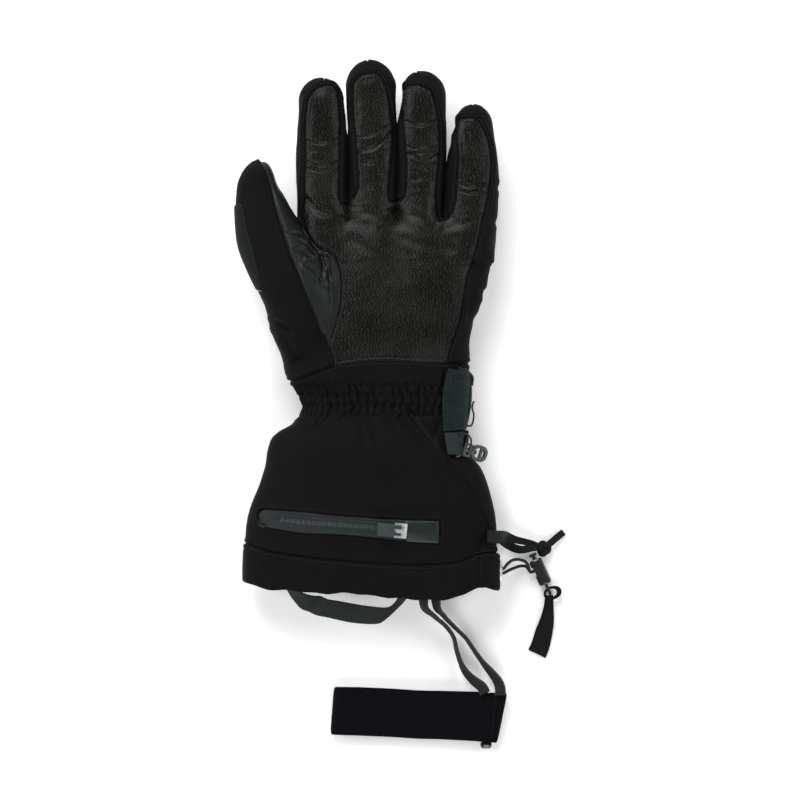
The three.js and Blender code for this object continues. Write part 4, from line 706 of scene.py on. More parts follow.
handTop = {
    "webs": [(-31, 43.7), (-0.6, 45), (29.8, 32.3)], "webReach": 4.5, "webRise": 1.3,
    # Neighbouring fingers lie against each other up to a height: the shares of the hand where they do.
    "touching": [("index", "middle", 0.55, 0.8), ("middle", "ring", 0.55, 0.83), ("ring", "little", 0.5, 0.69)],
    "touchRise": 0.85, "touchReach": 1.7,
    "groove": 1.05, "grooveWidth": 0.85, "welt": 0.75, "puff": 0.9, "puffReach": 11,
    # Creases pressed into the front: depth, half width and the line each follows.
    "creases": [
        (1.1, 2.2, [(-60, 47), (-52, 39), (-42, 36), (-34, 38)]),
        (0.8, 2.4, [(-30, 40), (-22, 36.5), (-10, 36), (0, 38.5)]),
        (0.6, 2.2, [(2, 39), (12, 34), (22, 30)]),
        (0.5, 2.4, [(30, 28), (40, 30), (52, 34)]),
        (0.45, 0.8, [(-59, 83), (-50, 80.5), (-38, 83.5)]),
        (0.5, 0.8, [(-58, 70), (-49, 66.5), (-38, 69)]),
        (0.4, 0.6, [(-58, 65), (-48, 62.5), (-38, 64.5)]),
        (0.8, 1.1, [(-27, 75), (-17, 77.5), (-10, 82), (-4, 88)]),
        (0.4, 0.6, [(-27, 85), (-17, 86), (-5, 93)]),
        (0.7, 0.9, [(17, 112), (21, 110.5), (24.5, 111)]),
        (0.5, 0.9, [(4, 95), (14, 92.5), (24, 95)]),
        (0.9, 1.0, [(4.5, 75), (13, 71.5), (20, 70.5), (26, 74)]),
        (0.5, 0.7, [(5, 79.5), (14, 77), (25, 79)]),
        (0.5, 1.1, [(44, 90), (47, 76), (51, 66)]),
        (0.55, 0.8, [(38, 56), (46, 53), (58, 55.5)]),
        (0.4, 0.7, [(38, 51), (47, 48.5), (58, 50)]),
        (0.5, 2.6, [(-28, 20), (-8, 4), (6, -18), (10, -40)]),
        (0.35, 2.2, [(-10, 26), (10, 18), (34, 14)]),
    ],
    "thumbCreases": [
        (1.6, 1.3, [(-56, 20), (-50, 12), (-47, 3), (-48, -4)]),
        (1.3, 1.1, [(-47, 12.5), (-43.5, 4), (-43, -5)]),
        (1.0, 1.0, [(-62, 19), (-57, 16.5), (-53, 11.5)]),
        (0.7, 0.9, [(-66, 14), (-60, 11), (-56, 10)]),
        (0.6, 1.2, [(-58, 4), (-52, -1), (-47, -9)]),
        (0.5, 1.0, [(-70, 24), (-64, 24), (-60, 21)]),
    ],
    "clothCreases": [
        (2.6, 2.0, [(-79, -33), (-73, -36.5), (-69, -39)]),
        (1.2, 2.4, [(-72, -44), (-66, -52), (-60, -60)]),
        (1.1, 2.0, [(66, 29.5), (61.5, 31)]),
        (1.3, 2.2, [(60.5, -13), (54, -14)]),
        (1.1, 2.0, [(66.5, 53), (61, 52)]),
        (0.8, 2.4, [(55, -29), (47, -31)]),
        (0.9, 0.55, [(-46.8, 126), (-46.6, 117)]),
        (0.9, 0.55, [(-19.2, 135), (-18.8, 124)]),
        (0.9, 0.55, [(11.4, 129), (11.6, 117)]),
        (0.9, 0.55, [(46.6, 108), (47, 96)]),
        (0.6, 0.7, [(-60, 112), (-55, 114)]),
    ],
}


def creased(points, creases):
    total = np.zeros(len(points))
    x, y = points[:, 0] + noise(points, 7, 3) * 0.7, points[:, 1] + noise(points, 7, 4) * 0.7
    for depth, width, line in creases:
        line = smoothLine(line)
        low, high = line.min(0) - 4 * width, line.max(0) + 4 * width
        near = (x > low[0]) & (x < high[0]) & (y > low[1]) & (y < high[1])
        d = lineDistance(line, x[near], y[near], closed=False)
        ends = np.minimum(*[np.hypot(x[near] - e[0], y[near] - e[1]) for e in (line[0], line[-1])])
        fade = smoothStep(0, 3 * width, ends + 1.2 * width)
        lip = 0.22 * np.exp(-((d - 2 * width) / width) ** 2)
        total[near] += depth * fade * (lip - np.exp(-(d / width) ** 2))
    return total


def seamRelief(d, side):
    # The cloth dips into a seam and stands a little proud beside it.
    groove = -handTop["groove"] * np.exp(-(d / handTop["grooveWidth"]) ** 2)
    return groove + side * np.exp(-((d - 2.1) / 0.9) ** 2)


handGrid = {"low": (-112, -92, -2), "high": (72, 140, 56), "step": 1.0}
raw, quads = surfaceNet(handForm, handGrid["low"], handGrid["high"], handGrid["step"])
for _ in range(3):
    raw = raw + (neighbourMean(len(raw), quads, raw) - raw) * 0.5
    raw = ontoForm(handForm, raw, 2)
faces = triangles(quads)
points, faces = cutMesh(raw, faces, edgeY("seam", raw[:, 0]) - raw[:, 1])
keep = points[faces].mean(1)
points, faces, _ = keepFaces(points, faces, keep[:, 1] > edgeY("seam", keep[:, 0]))
print("hand skin", len(points), "points")


panelFoot = {"palm": 22, "thumb": 15, "wiper": 10}  # no panel reaches below its height


def withinPanel(area, name, p):
    return np.maximum(lineDistance(area, p[:, 0], p[:, 1]), panelFoot[name] - p[:, 2])


def splitBy(points, faces, rule):
    # Cuts along rule(points) = 0 and gives what lies below it, then what lies above.
    points, faces = cutMesh(points, faces, rule(points))
    middle = rule(points[faces].mean(1))
    under = keepFaces(points, faces, middle < 0)[:2]
    over = keepFaces(points, faces, middle >= 0)[:2]
    return under, over


thumbPart, palmPart = splitBy(points, faces, lambda p: p[:, 0] - thumbEdgeX(p[:, 1]))
leatherPart, backPart = splitBy(*palmPart, lambda p: withinPanel(frontOutline, "palm", p))
thumbArea = np.concatenate([thumbSeam, [(-86.5, 90), (0, 90), (0, -52)]])
wiperArea = np.concatenate([wiperSeam, [(-130, -12.6), (-130, 42.4)]])
thumbLeatherPart, thumbClothPart = splitBy(*thumbPart, lambda p: withinPanel(thumbArea, "thumb", p))
wiperPart, thumbClothPart = splitBy(*thumbClothPart, lambda p: withinPanel(wiperArea, "wiper", p))


def seamDistance(p):
    top = p[:, 2] > 13
    x, y = p[:, 0], p[:, 1]
    d = np.abs(lineDistance(frontOutline, x, y))
    d = np.minimum(d, lineDistance(thumbSeam, x, y, closed=False))
    d = np.where(top, d, 9)
    return np.minimum(d, np.abs(y - edgeY("seam", x)))


def touchRelief(p):
    # The sides of neighbouring fingers swell until they meet.
    share = (p[:, 1] - wristY) / length
    total = np.zeros(len(p))
    for one, other, low, high in handTop["touching"]:
        middle = (readTable(fingers[one]["rows"], "at", "right", share)
                  + readTable(fingers[other]["rows"], "at", "left", share)) / 2 * palm
        within = smoothStep(low, low + 0.02, share) * (1 - smoothStep(high - 0.03, high, share))
        total += within * np.exp(-((p[:, 0] - middle) / handTop["touchReach"]) ** 2)
    return handTop["touchRise"] * total


def relief(p, kind):
    d = seamDistance(p)
    total = seamRelief(d, handTop["welt"] if kind in ("cloth", "thumbCloth") else 0.15)
    up = smoothStep(0.0, 0.5, unit(slopeOf(handForm, p))[:, 2])
    web = sum(np.exp(-(np.hypot(p[:, 0] - x, p[:, 1] - y) / handTop["webReach"]) ** 2)
              for x, y in handTop["webs"])
    total += handTop["webRise"] * web + touchRelief(p)
    if kind == "leather":
        total += (handTop["puff"] * smoothStep(0, handTop["puffReach"], d)
                  + creased(p, handTop["creases"]) * up)
        soft = smoothStep(1, 5, d)
        joints = np.exp(-((p[:, 1] - 70) / 16) ** 2) + 0.5 * np.exp(-((p[:, 1] - 38) / 10) ** 2)
        skew = p + 1.6 * noise(p, 9, 14)[:, None]
        total += soft * (0.5 * joints * noise(skew, (9, 3.1, 9), 11) + 0.16 * noise(skew, (5.3, 4.1, 5), 12)
                         + 0.6 * noise(p, 17, 13))
    elif kind == "thumbLeather":
        total += 0.5 * smoothStep(0, 5, d) + creased(p, handTop["thumbCreases"]) * up
        crotch = np.exp(-(np.hypot(p[:, 0] + 52, p[:, 1] - 6) / 14) ** 2)
        total += smoothStep(1, 4, d) * ((0.15 + 0.8 * crotch) * noise(p, (3.4, 6, 5), 21)
                                        + 0.3 * noise(p, 12, 22))
    else:
        total += creased(p, handTop["clothCreases"]) * smoothStep(0.5, 3, d)
        total += smoothStep(1, 6, d) * (0.75 * noise(p, 23, 31) + 0.35 * noise(p, 9, 32)
                                        + 0.1 * noise(p, 3.5, 33))
    return total


def dressPart(part, kind, splits):
    points, faces = part
    for _ in range(splits):
        points, faces = splitFaces(points, faces)
    points = ontoForm(handForm, points, 2) if splits else points
    return points + unit(slopeOf(handForm, points)) * relief(points, kind)[:, None], faces


fine = 1
skins = {}
for name, part, kind, splits, material, nodeName, slot in (
        ("palmLeather", leatherPart, "leather", fine, palmHide, "palm_leather", "leather"),
        ("handCloth", backPart, "cloth", 0, softshell, "hand_back", "softshell"),
        ("thumbLeather", thumbLeatherPart, "thumbLeather", fine, thumbHide, "thumb_leather", "leather"),
        ("thumbCloth", thumbClothPart, "thumbCloth", 0, softshell, "thumb_cloth", "softshell")):
    skin, faces = dressPart(part, kind, splits)
    skins[name] = (skin, faces)
    piece = addPiece(name, skin, faces, material)
    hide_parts(nodeName)
wiperPoints, wiperFaces = wiperPart
wiperEdge = withinPanel(wiperArea, "wiper", wiperPoints)
wiperPoints = wiperPoints + unit(slopeOf(handForm, wiperPoints)) * (
    0.95 * smoothStep(0, 1.4, -wiperEdge) - 0.3 + 0.15 * noise(wiperPoints, 9, 41))[:, None]
piece = addPiece("thumbWiper", wiperPoints, wiperFaces, suede)
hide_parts("thumb_wiper")
skins["thumbWiper"] = (wiperPoints, wiperFaces)
print("hand panels made")


# The cuff is one sleeve, gathered at the wrist, with a hem and a lining.
cuffRows = columns(("at", "left", "right", "bottom", "top"), [
    (-0.2, -0.36, 0.384, 0.03, 0.93), (-0.09, -0.329, 0.385, 0.05, 0.9), (0.044, -0.271, 0.38, 0.08, 0.86),
    (0.133, -0.302, 0.3745, 0.07, 0.88), (0.177, -0.359, 0.372, 0.05, 0.91), (0.21, -0.388, 0.371, 0.03, 0.94),
    (0.276, -0.406, 0.378, 0.01, 0.98), (0.36, -0.418, 0.429, 0, 1), (0.458, -0.445, 0.461, 0, 1),
    (0.557, -0.476, 0.482, 0, 1), (0.64, -0.49, 0.492, 0, 0.98), (0.724, -0.494, 0.498, 0, 0.95),
    (1.02, -0.498, 0.5, 0, 0.9)])

cuff = {
    "columns": 440, "rows": 140,
    "hemRows": 44, "blend": 9, "hemProud": 0.9, "hemWall": 3.2, "wall": 2.4,
    "hemJoint": 51.3,  # where the hem's end laps over its start
    # Valleys of the gathers across the wrist's front, from left to right, then their depth.
    "valleys": [-59.4, -57.2, -54, -50.4, -46.6, -42.2, -37.8, -33.2, -28.4, -23.4, -18.3, -13.1, -7.8, -2.6,
                2.6, 8.0, 13.2, 18.3, 23.2, 28.2, 33, 38, 42.5],
    "pleatDepth": 2.2, "puckers": [-73.2, -79.6, -85.8, -91.6], "puckerDepth": 0.6,
    "fold": [(3.2, -83.4), (8.9, -91.8), (17.1, -102), (24.9, -112.6), (32.2, -121.5)],
    "frontSeam": [(-40, 29.5), (-76, 29.5), (-83, 29.5), (-92, 26), (-104, 24.4), (-112, 25.5), (-121.5, 32.4),
                  (-128, 39.4), (-133.5, 42.6), (-142, 48.4), (-154.7, 53.8), (-163, 56.4), (-178, 51.3),
                  (-200, 51.3)],
    # More folds over the front: depth, half width, line.
    "folds": [
        (0.9, 1.2, [(14.5, -71), (12.4, -76), (11.4, -80.5)]),
        (0.9, 1.3, [(23.5, -72), (20.4, -77), (18.6, -82)]),
        (1.1, 1.5, [(-3, -86), (3.6, -95), (12.5, -105), (17, -111)]),
        (0.9, 1.6, [(-9.6, -88), (-5, -95.5), (-1.6, -100)]),
        (0.6, 2.2, [(-24, -93), (-22.6, -101), (-20.8, -108)]),
        (0.6, 2.2, [(-16.6, -93), (-15, -101), (-12.4, -112)]),
        (0.7, 2.6, [(-61, -92), (-54, -96), (-46, -94.5)]),
        (0.5, 2.4, [(-70, -98), (-60, -99.5), (-50, -97.5)]),
        (0.6, 4.5, [(-84, -138), (-72, -150), (-66, -158)]),
        (0.5, 5, [(30, -130), (36, -146), (40, -160)]),
    ],
}


def ovalAngles(count, wide, high, power):
    # Angles that put points at even distances round a soft oval, from its right side over the top.
    fineAngle = np.linspace(0, 2 * math.pi, 8001)
    c, s = np.cos(fineAngle), np.sin(fineAngle)
    x = wide * np.sign(c) * np.abs(c) ** (2 / power)
    z = high * np.sign(s) * np.abs(s) ** (2 / power)
    run = np.concatenate([[0], np.cumsum(np.hypot(np.diff(x), np.diff(z)))])
    return np.interp(np.arange(count) * run[-1] / count, run, fineAngle)


def cuffSpan(y, proud):
    # The middle and half size of the sleeve at Y, across and up.
    share = (wristY - y) / cuffLong
    left, right = (readTable(cuffRows, "at", k, share) * cuffWide + glove["cuffMiddle"]
                   for k in ("left", "right"))
    low = readTable(cuffRows, "at", "bottom", share) * cuffDeep - glove["sink"]
    high = readTable(cuffRows, "at", "top", share) * cuffDeep
    return (left + right) / 2, (right - left) / 2 + proud, (low + high) / 2, (high - low) / 2 + proud


def cuffPlace(angle, y, proud=0.0):
    middleX, halfX, middleZ, halfZ = cuffSpan(y, proud)
    c, s = np.cos(angle), np.sin(angle)
    x = middleX + halfX * np.sign(c) * np.abs(c) ** (2 / glove["bodyRound"])
    z = middleZ + halfZ * np.sign(s) * np.abs(s) ** (2 / glove["bodyRound"])
    return np.stack([x, y + 0 * x, z], -1)


def gridFaces(rows, count, wrap=True):
    r, i = np.meshgrid(np.arange(rows - 1), np.arange(count if wrap else count - 1), indexing="ij")
    j = (i + 1) % count
    under = r + 1
    return np.stack([r * count + i, r * count + j, under * count + j, under * count + i], -1).reshape(-1, 4)


angles = ovalAngles(cuff["columns"], 80, 23, 2.7)


def sleeveRows(starts, ends, rows, proud):
    # Rows between two lines that run across the cuff, each given by its Y over X.
    out = []
    for t in np.linspace(0, 1, rows):
        y = np.full(angles.shape, -120.0)
        for _ in range(5):
            x = cuffPlace(angles, y, proud)[:, 0]
            y = starts(x) * (1 - t) + ends(x) * t
        out.append(cuffPlace(angles, y, proud))
    return np.array(out)


wristRing = cuffPlace(angles, np.full(angles.shape, cuffY(0.044)))
wristArc = np.concatenate([[0], np.cumsum(np.linalg.norm(np.diff(wristRing[:, [0, 2]], axis=0), axis=1))])
girth = wristArc[-1] + np.linalg.norm(wristRing[0] - wristRing[-1])
topHalf = wristRing[:, 2] > wristRing[:, 2].mean()
order = np.argsort(wristRing[topHalf, 0])
valleyArcs = np.interp(cuff["valleys"], wristRing[topHalf, 0][order], wristArc[topHalf][order])[::-1]
backArcs = np.arange(valleyArcs[-1] + 5.6, girth + valleyArcs[0] - 3, 5.7)
backArcs = backArcs + 1.1 * noise(np.stack([backArcs, backArcs * 0, backArcs * 0], 1), 4.3, 51)
valleyArcs = np.concatenate([valleyArcs, backArcs, [valleyArcs[0] + girth]])


def cuffRelief(p, arc):
    # The gathers, the rows of elastic that pinch them, and the folds that run down from them.
    x, y = p[:, 0], p[:, 1]
    flat = np.stack([arc, y, 0 * y], 1)
    wander = arc + 1.5 * noise(flat, (8, 3.6, 1), 52) + 0.7 * noise(flat, (3.4, 2.6, 1), 53)
    wander = np.where(wander < valleyArcs[0], wander + girth, wander)
    phase = np.interp(wander, valleyArcs, np.arange(len(valleyArcs)))
    which = np.floor(phase).astype(np.int64)
    ridge = np.sin(math.pi * (phase - which)) ** 0.7
    strength = 0.65 + 0.6 * lattice(which, 0 * which, 0 * which, 54)
    reach = -94 - 24 * lattice(which, 0 * which + 1, 0 * which, 55) ** 4
    body = smoothStep(-66, -75, y) * (1 - smoothStep(0, 1, (-88 - y) / np.maximum(-88 - reach, 1)))
    total = cuff["pleatDepth"] * strength * body * (ridge - 0.8)
    band = smoothStep(-66, -70, y) * smoothStep(-97, -93, y)
    pinch = sum(np.exp(-((y - line - 0.5 * noise(flat, (5, 9, 1), 56)) / 1.3) ** 2)
                for line in cuff["puckers"])
    total -= cuff["puckerDepth"] * pinch * band * (0.6 + 0.6 * ridge)
    total += band * (0.45 * noise(flat, (2.9, 2.6, 1), 57) + 0.5 * noise(flat, (6, 5, 1), 65))
    up = p[:, 2] > 20
    fold = smoothLine(cuff["fold"])
    d = lineDistance(fold, x, y, closed=False)
    side = x - np.interp(-y, -fold[:, 1], fold[:, 0])
    core = 6 * np.exp(-(np.abs(d * np.sign(side) - 0.4) / 0.95) ** 1.6)
    slack = (2.4 * np.exp(-((d - 3) / 4.5) ** 2) * (side > 0)
             - 1.5 * np.exp(-((d - 3) / 2.6) ** 2) * (side < 0))
    total -= np.where(up, core + slack, 0) * smoothStep(-84, -95, y) * smoothStep(-124, -112, y)
    total += np.where(up, creased(p, cuff["folds"]), 0)
    calm = smoothStep(-100, -120, y)
    total += (0.3 + 0.4 * calm) * noise(p, 26, 58) + 0.2 * noise(p, 11, 59) + 0.07 * noise(p, 3.2, 60)
    return total


zipRows = columns(("across", "top", "foot"), [
    (-0.435, 0.5617, 0.6454), (-0.272, 0.5765, 0.68), (-0.1137, 0.596, 0.69), (0.0353, 0.6085, 0.707),
    (0.145, 0.616, 0.7243), (0.2705, 0.619, 0.734)])


def zipY(name, x):
    return cuffY(readTable(zipRows, "across", name, (x - glove["cuffMiddle"]) / cuffWide))


zipEnds = cuffX(-0.435), cuffX(0.2705)
zipStations = np.linspace(zipEnds[0] + 6, zipEnds[1], 40)
zipWindow = np.concatenate([
    np.stack([zipStations, zipY("top", zipStations)], 1),
    np.stack([zipStations, zipY("foot", zipStations)], 1)[::-1],
    np.array([(-87, -157.9), (-88.6, -155.4), (-88.4, -152.6), (-86.8, -150.6)])])


def seamY(x):
    return edgeY("seam", x)


def hemTopY(x):
    return edgeY("hemTop", x)


def hemFootY(x):
    return edgeY("hemFoot", x) + 0.5 * np.sin(x / 6.5) + 0.35 * np.sin(x / 2.9 + 1)


rows = sleeveRows(seamY, hemTopY, cuff["rows"], 0)
points = rows.reshape(-1, 3)
drop = seamY(points[:, 0]) - points[:, 1]
near = drop < cuff["blend"] + 2
onHand = ontoForm(handForm, points[near], 6)
onHand[:, 1] = points[near][:, 1]
weight = (1 - smoothStep(0, cuff["blend"], drop[near]))[:, None]
points[near] = points[near] * (1 - weight) + onHand * weight
arcs = np.tile(wristArc, cuff["rows"])
faces = triangles(gridFaces(cuff["rows"], cuff["columns"]))
if pointNormals(points, faces)[np.argmax(points[:, 2])][2] < 0:
    faces = faces[:, ::-1]
normals = pointNormals(points, faces)
frontSeam = np.array(cuff["frontSeam"])
front = np.interp(-points[:, 1], -frontSeam[:, 0], frontSeam[:, 1])
frontRule = np.maximum(points[:, 0] - front, 21 - points[:, 2])
frontGap = np.where(points[:, 2] > 22, lineDistance(frontSeam[:, ::-1], points[:, 0], points[:, 1],
                                                    closed=False), 9)
edge = np.minimum(drop, points[:, 1] - hemTopY(points[:, 0]))
zipGap = lineDistance(zipWindow, points[:, 0], points[:, 1])
onTop = points[:, 2] > 30
move = cuffRelief(points, arcs) * smoothStep(0, 6, edge) * (1 - 0.85 * onTop * smoothStep(7, 1, zipGap))
move += seamRelief(edge, 0.3) + np.where(frontGap < 8, 0.6 * seamRelief(frontGap * 0.9, 0.5), 0)
zipRim = 0.75 * np.exp(-((zipGap - 1.1) / 0.8) ** 2) - 0.9 * smoothStep(0.5, -0.8, zipGap)
move += np.where(onTop, zipRim, 0)
skin = points + normals * move[:, None]
skin[:, 2] = np.maximum(skin[:, 2], 0)
both, bothFaces = cutMesh(np.hstack([skin, frontRule[:, None]]), faces, frontRule)
middle = both[bothFaces].mean(1)[:, 3]
for name, keep, nodeName in (("cuffFront", middle < 0, "cuff_front"),
                             ("cuffBack", middle >= 0, "cuff_back")):
    panel, panelFaces, _ = keepFaces(both[:, :3], bothFaces, keep)
    skins[name] = (panel, panelFaces)
    piece = addPiece(name, panel, panelFaces, softshell)
    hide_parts(nodeName)

# The hem goes down its outside, round its lip and a little way up inside.
hemOut = sleeveRows(hemTopY, hemFootY, cuff["hemRows"], cuff["hemProud"])
lip = []
for turn in np.linspace(0, math.pi, 9)[1:]:
    ring = sleeveRows(lambda x: hemFootY(x) - cuff["hemWall"] / 2 * math.sin(turn), hemFootY, 2,
                      cuff["hemProud"] - cuff["hemWall"] / 2 * (1 - math.cos(turn)))[0]
    lip.append(ring)
inside = sleeveRows(hemFootY, lambda x: hemTopY(x) - 2, 14, cuff["hemProud"] - cuff["hemWall"])[1:]
hem = np.concatenate([hemOut, np.array(lip), inside])
points = hem.reshape(-1, 3)
faces = triangles(gridFaces(len(hem), cuff["columns"]))
if pointNormals(points, faces)[np.argmax(points[:, 2])][2] < 0:
    faces = faces[:, ::-1]
normals = pointNormals(points, faces)
outer = np.repeat(np.arange(len(hem)) < len(hemOut) + 3, cuff["columns"])
drop = np.where(outer, hemTopY(points[:, 0]) - points[:, 1], 20)
ripple = (0.55 * noise(points, (15, 24, 15), 61) + 0.3 * noise(points, (6, 14, 6), 62)
          + 0.06 * noise(points, 3, 63))
move = np.where(outer, ripple * smoothStep(0, 4, drop), 0) - 1.3 * np.exp(-(drop / 0.8) ** 2)
move -= np.where(outer, 0.35 * np.exp(-((drop - 3.4) / 0.7) ** 2), 0)
overlap = points[:, 0] - cuff["hemJoint"]
move += np.where(outer & (points[:, 2] > 20), 0.5 * smoothStep(-0.4, 0.4, overlap)
                 - 0.8 * np.exp(-(overlap / 0.5) ** 2), 0)
points = points + normals * move[:, None]
skins["cuffHem"] = (points, faces)
piece = addPiece("cuffHem", points, faces, softshell)
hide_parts("cuff_hem")

# The lining runs from the hem's inside up to the palm, where it closes.
innerLining = {"from": -183, "length": 200, "rows": 60, "closesFrom": 2, "closesOver": 15.1, "middleZ": 21,
               "halfZ": 12, "narrower": 14, "shift": 4, "square": 0.74}
liningRows = []
for t in np.linspace(0, 1, innerLining["rows"]):
    y = innerLining["from"] + t * innerLining["length"]
    inCuff = cuffPlace(angles, np.full(angles.shape, min(y, -60.0)), -cuff["wall"])
    left, right = (readTable(handRows, "at", k, (y - wristY) / length) * palm for k in ("left", "right"))
    c, s = np.cos(angles), np.sin(angles)
    halfX, power = (right - left) / 2 - innerLining["narrower"], innerLining["square"]
    inHand = np.stack([(left + right) / 2 + innerLining["shift"] + halfX * np.sign(c) * np.abs(c) ** power,
                       0 * c + y,
                       innerLining["middleZ"] + innerLining["halfZ"] * np.sign(s) * np.abs(s) ** power], 1)
    inCuff[:, 1] = y
    weight = smoothStep(-95, -70, y)
    ring = inCuff * (1 - weight) + inHand * weight
    closing = max((y - innerLining["closesFrom"]) / innerLining["closesOver"], 0)
    shrink = math.sqrt(max(1 - closing ** 2, 0.0001))
    centre = ring[:, [0, 2]].mean(0)
    ring[:, [0, 2]] = centre + (ring[:, [0, 2]] - centre) * shrink
    liningRows.append(ring)
points = np.concatenate(liningRows)
points[:, 2] = np.maximum(points[:, 2] + 0.5 * noise(points, 14, 64), 2.2)
addPiece("cuffLining", points, gridFaces(innerLining["rows"], cuff["columns"]), lining)
print("cuff made")


def path(points, count):
    # A centripetal curve through the points, evenly spaced.
    pts = np.asarray(points, float)
    ext = np.vstack([2 * pts[0] - pts[1], pts, 2 * pts[-1] - pts[-2]])
    dense = []
    for p0, p1, p2, p3 in zip(ext, ext[1:], ext[2:], ext[3:]):
        d0, d1, d2 = (max(np.linalg.norm(b - a), 1e-6) ** 0.5 for a, b in ((p0, p1), (p1, p2), (p2, p3)))
        m1 = ((p1 - p0) / d0 - (p2 - p0) / (d0 + d1) + (p2 - p1) / d1) * d1
        m2 = ((p2 - p1) / d1 - (p3 - p1) / (d1 + d2) + (p3 - p2) / d2) * d1
        t = np.linspace(0, 1, 40, endpoint=False)[:, None]
        dense.append((2 * t ** 3 - 3 * t ** 2 + 1) * p1 + (t ** 3 - 2 * t ** 2 + t) * m1
                     + (3 * t ** 2 - 2 * t ** 3) * p2 + (t ** 3 - t ** 2) * m2)
    dense = np.vstack([*dense, pts[-1:]])
    run = np.concatenate([[0], np.cumsum(np.linalg.norm(np.diff(dense, axis=0), axis=1))])
    even = np.linspace(0, run[-1], count)
    return np.stack([np.interp(even, run, dense[:, k]) for k in range(3)], 1), run[-1]


def route(rows):
    return [(cuffX(x), cuffY(at), z * cuffDeep) for x, at, z in rows]


def loft(rings, closeEnds=True):
    # Faces between rings of points, with a fan at each end.
    count, sides = len(rings), len(rings[0])
    points = np.concatenate(rings)
    faces = [tuple(f) for f in gridFaces(count, sides)]
    if closeEnds:
        for r, flip in ((0, True), (count - 1, False)):
            middle = len(points)
            points = np.vstack([points, rings[r].mean(0)])
            for i in range(sides):
                a, b = r * sides + i, r * sides + (i + 1) % sides
                faces.append((middle, b, a) if flip else (middle, a, b))
    return points, faces


def outwardFaces(points, faces):
    # Turns all faces over if their volume comes out negative.
    volume = 0
    for f in faces:
        for k in range(1, len(f) - 1):
            volume += np.dot(points[f[0]], np.cross(points[f[k]], points[f[k + 1]]))
    return [tuple(reversed(f)) for f in faces] if volume < 0 else faces


def ribbonSection(width, thick, crown=0.0):
    # A flat oblong with round edges, its middle a little proud.
    out = []
    for i in range(5):
        a = -math.pi / 2 + math.pi * i / 4
        out.append((width / 2 - thick / 2 + thick / 2 * math.cos(a), thick / 2 * math.sin(a)))
    for s in (0.5, 0, -0.5):
        out.append((s * width * 0.8, thick / 2 + crown * (1 - abs(s))))
    for i in range(5):
        a = math.pi / 2 + math.pi * i / 4
        out.append((-width / 2 + thick / 2 + thick / 2 * math.cos(a), thick / 2 * math.sin(a)))
    for s in (-0.5, 0, 0.5):
        out.append((s * width * 0.8, -thick / 2))
    return np.array(out)


def ribbonPiece(name, points, width, thick, turns, material, steps=None, crown=0.0, nodeName=None,
                widths=None):
    steps = steps or max(int(path(points, 10)[1] / 1.2), 8)
    line, run = path(points, steps + 1)
    tangents = unit(np.gradient(line, axis=0))
    rings, uv = [], []
    slots = np.linspace(0, 1, len(turns))
    for i, (place, tangent) in enumerate(zip(line, tangents)):
        t = i / steps
        side = unit(np.cross((0, 0, 1), tangent))
        turn = math.radians(np.interp(t, slots, turns)) if len(turns) > 1 else math.radians(turns[0])
        side = side * math.cos(turn) + np.cross(tangent, side) * math.sin(turn)
        up = np.cross(tangent, side)
        wide = width * (np.interp(t, *widths) if widths is not None else 1)
        section = ribbonSection(wide, thick, crown)
        rings.append(place + section[:, :1] * side + section[:, 1:] * up)
        uv += [(a, t * run) for a, _ in section]
    mesh, faces = loft(rings)
    uv += [uv[0], uv[-1]]
    piece = addPiece(name, mesh, outwardFaces(mesh, faces), material, uv=uv)
    if nodeName:
        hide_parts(nodeName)
    return piece


def tubeRings(line, radius, sides):
    # Rings round a path that don't twist.
    tangents = unit(np.gradient(line, axis=0))
    side = unit(np.cross(tangents[0], (0.3, 0.2, 1)))
    rings = []
    for place, tangent in zip(line, tangents):
        side = unit(side - tangent * np.dot(side, tangent))
        up = np.cross(tangent, side)
        a = np.arange(sides) * 2 * math.pi / sides
        rings.append(place + radius * (np.cos(a)[:, None] * side + np.sin(a)[:, None] * up))
    return rings


def tubePiece(name, points, diameter, material, nodeName=None, step=0.6, sides=12):
    run = path(points, 10)[1]
    line = path(points, int(run / step) + 2)[0]
    rings = tubeRings(line, diameter / 2, sides)
    mesh, faces = loft(rings)
    girthUnit = math.pi * diameter / sides
    uv = [(k * girthUnit, i * step) for i in range(len(rings)) for k in range(sides)] + [(0, 0), (0, 0)]
    piece = addPiece(name, mesh, outwardFaces(mesh, faces), material, uv=uv)
    if nodeName:
        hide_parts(nodeName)
    return piece, line


def surfaceTree(names):
    verts, polys = [], []
    for name in names:
        p, f = skins[name]
        polys += [tuple(int(i) + len(verts) for i in face) for face in f]
        verts += [tuple(map(float, q)) for q in p]
    return BVHTree.FromPolygons(verts, polys)


def dropOn(tree, x, y):
    hit, normal, _, _ = tree.ray_cast(Vector((float(x), float(y), 90)), Vector((0, 0, -1)))
    if hit is None:
        return np.zeros(3), np.array([0.0, 0, 1])
    normal = np.array(normal)
    return np.array(hit), normal if normal[2] > 0 else -normal


def stitchRun(tree, line, pitch, long, thick, shift=0.0, sink=0.15):
    # Stitches laid along a line of X and Y over a surface: small threads with sunken ends.
    line = np.asarray(line, float)
    run = np.concatenate([[0], np.cumsum(np.linalg.norm(np.diff(line, axis=0), axis=1))])
    threads = []
    for at in np.arange(pitch / 2, run[-1] - pitch / 4, pitch):
        ends = [np.array([np.interp(at + e, run, line[:, k]) for k in range(2)])
                for e in (-long / 2, long / 2)]
        along = unit(ends[1] - ends[0])
        across = np.array([-along[1], along[0]]) * shift
        threads.append([dropOn(tree, *(ends[0] * (1 - t) + ends[1] * t + across)) for t in (0, 0.5, 1)])
    return [(np.array([p for p, _ in hits]), np.array([n for _, n in hits]), thick, sink)
            for hits in threads if np.ptp([p[2] for p, _ in hits]) < 1.5 and hits[0][0][2] > 2]


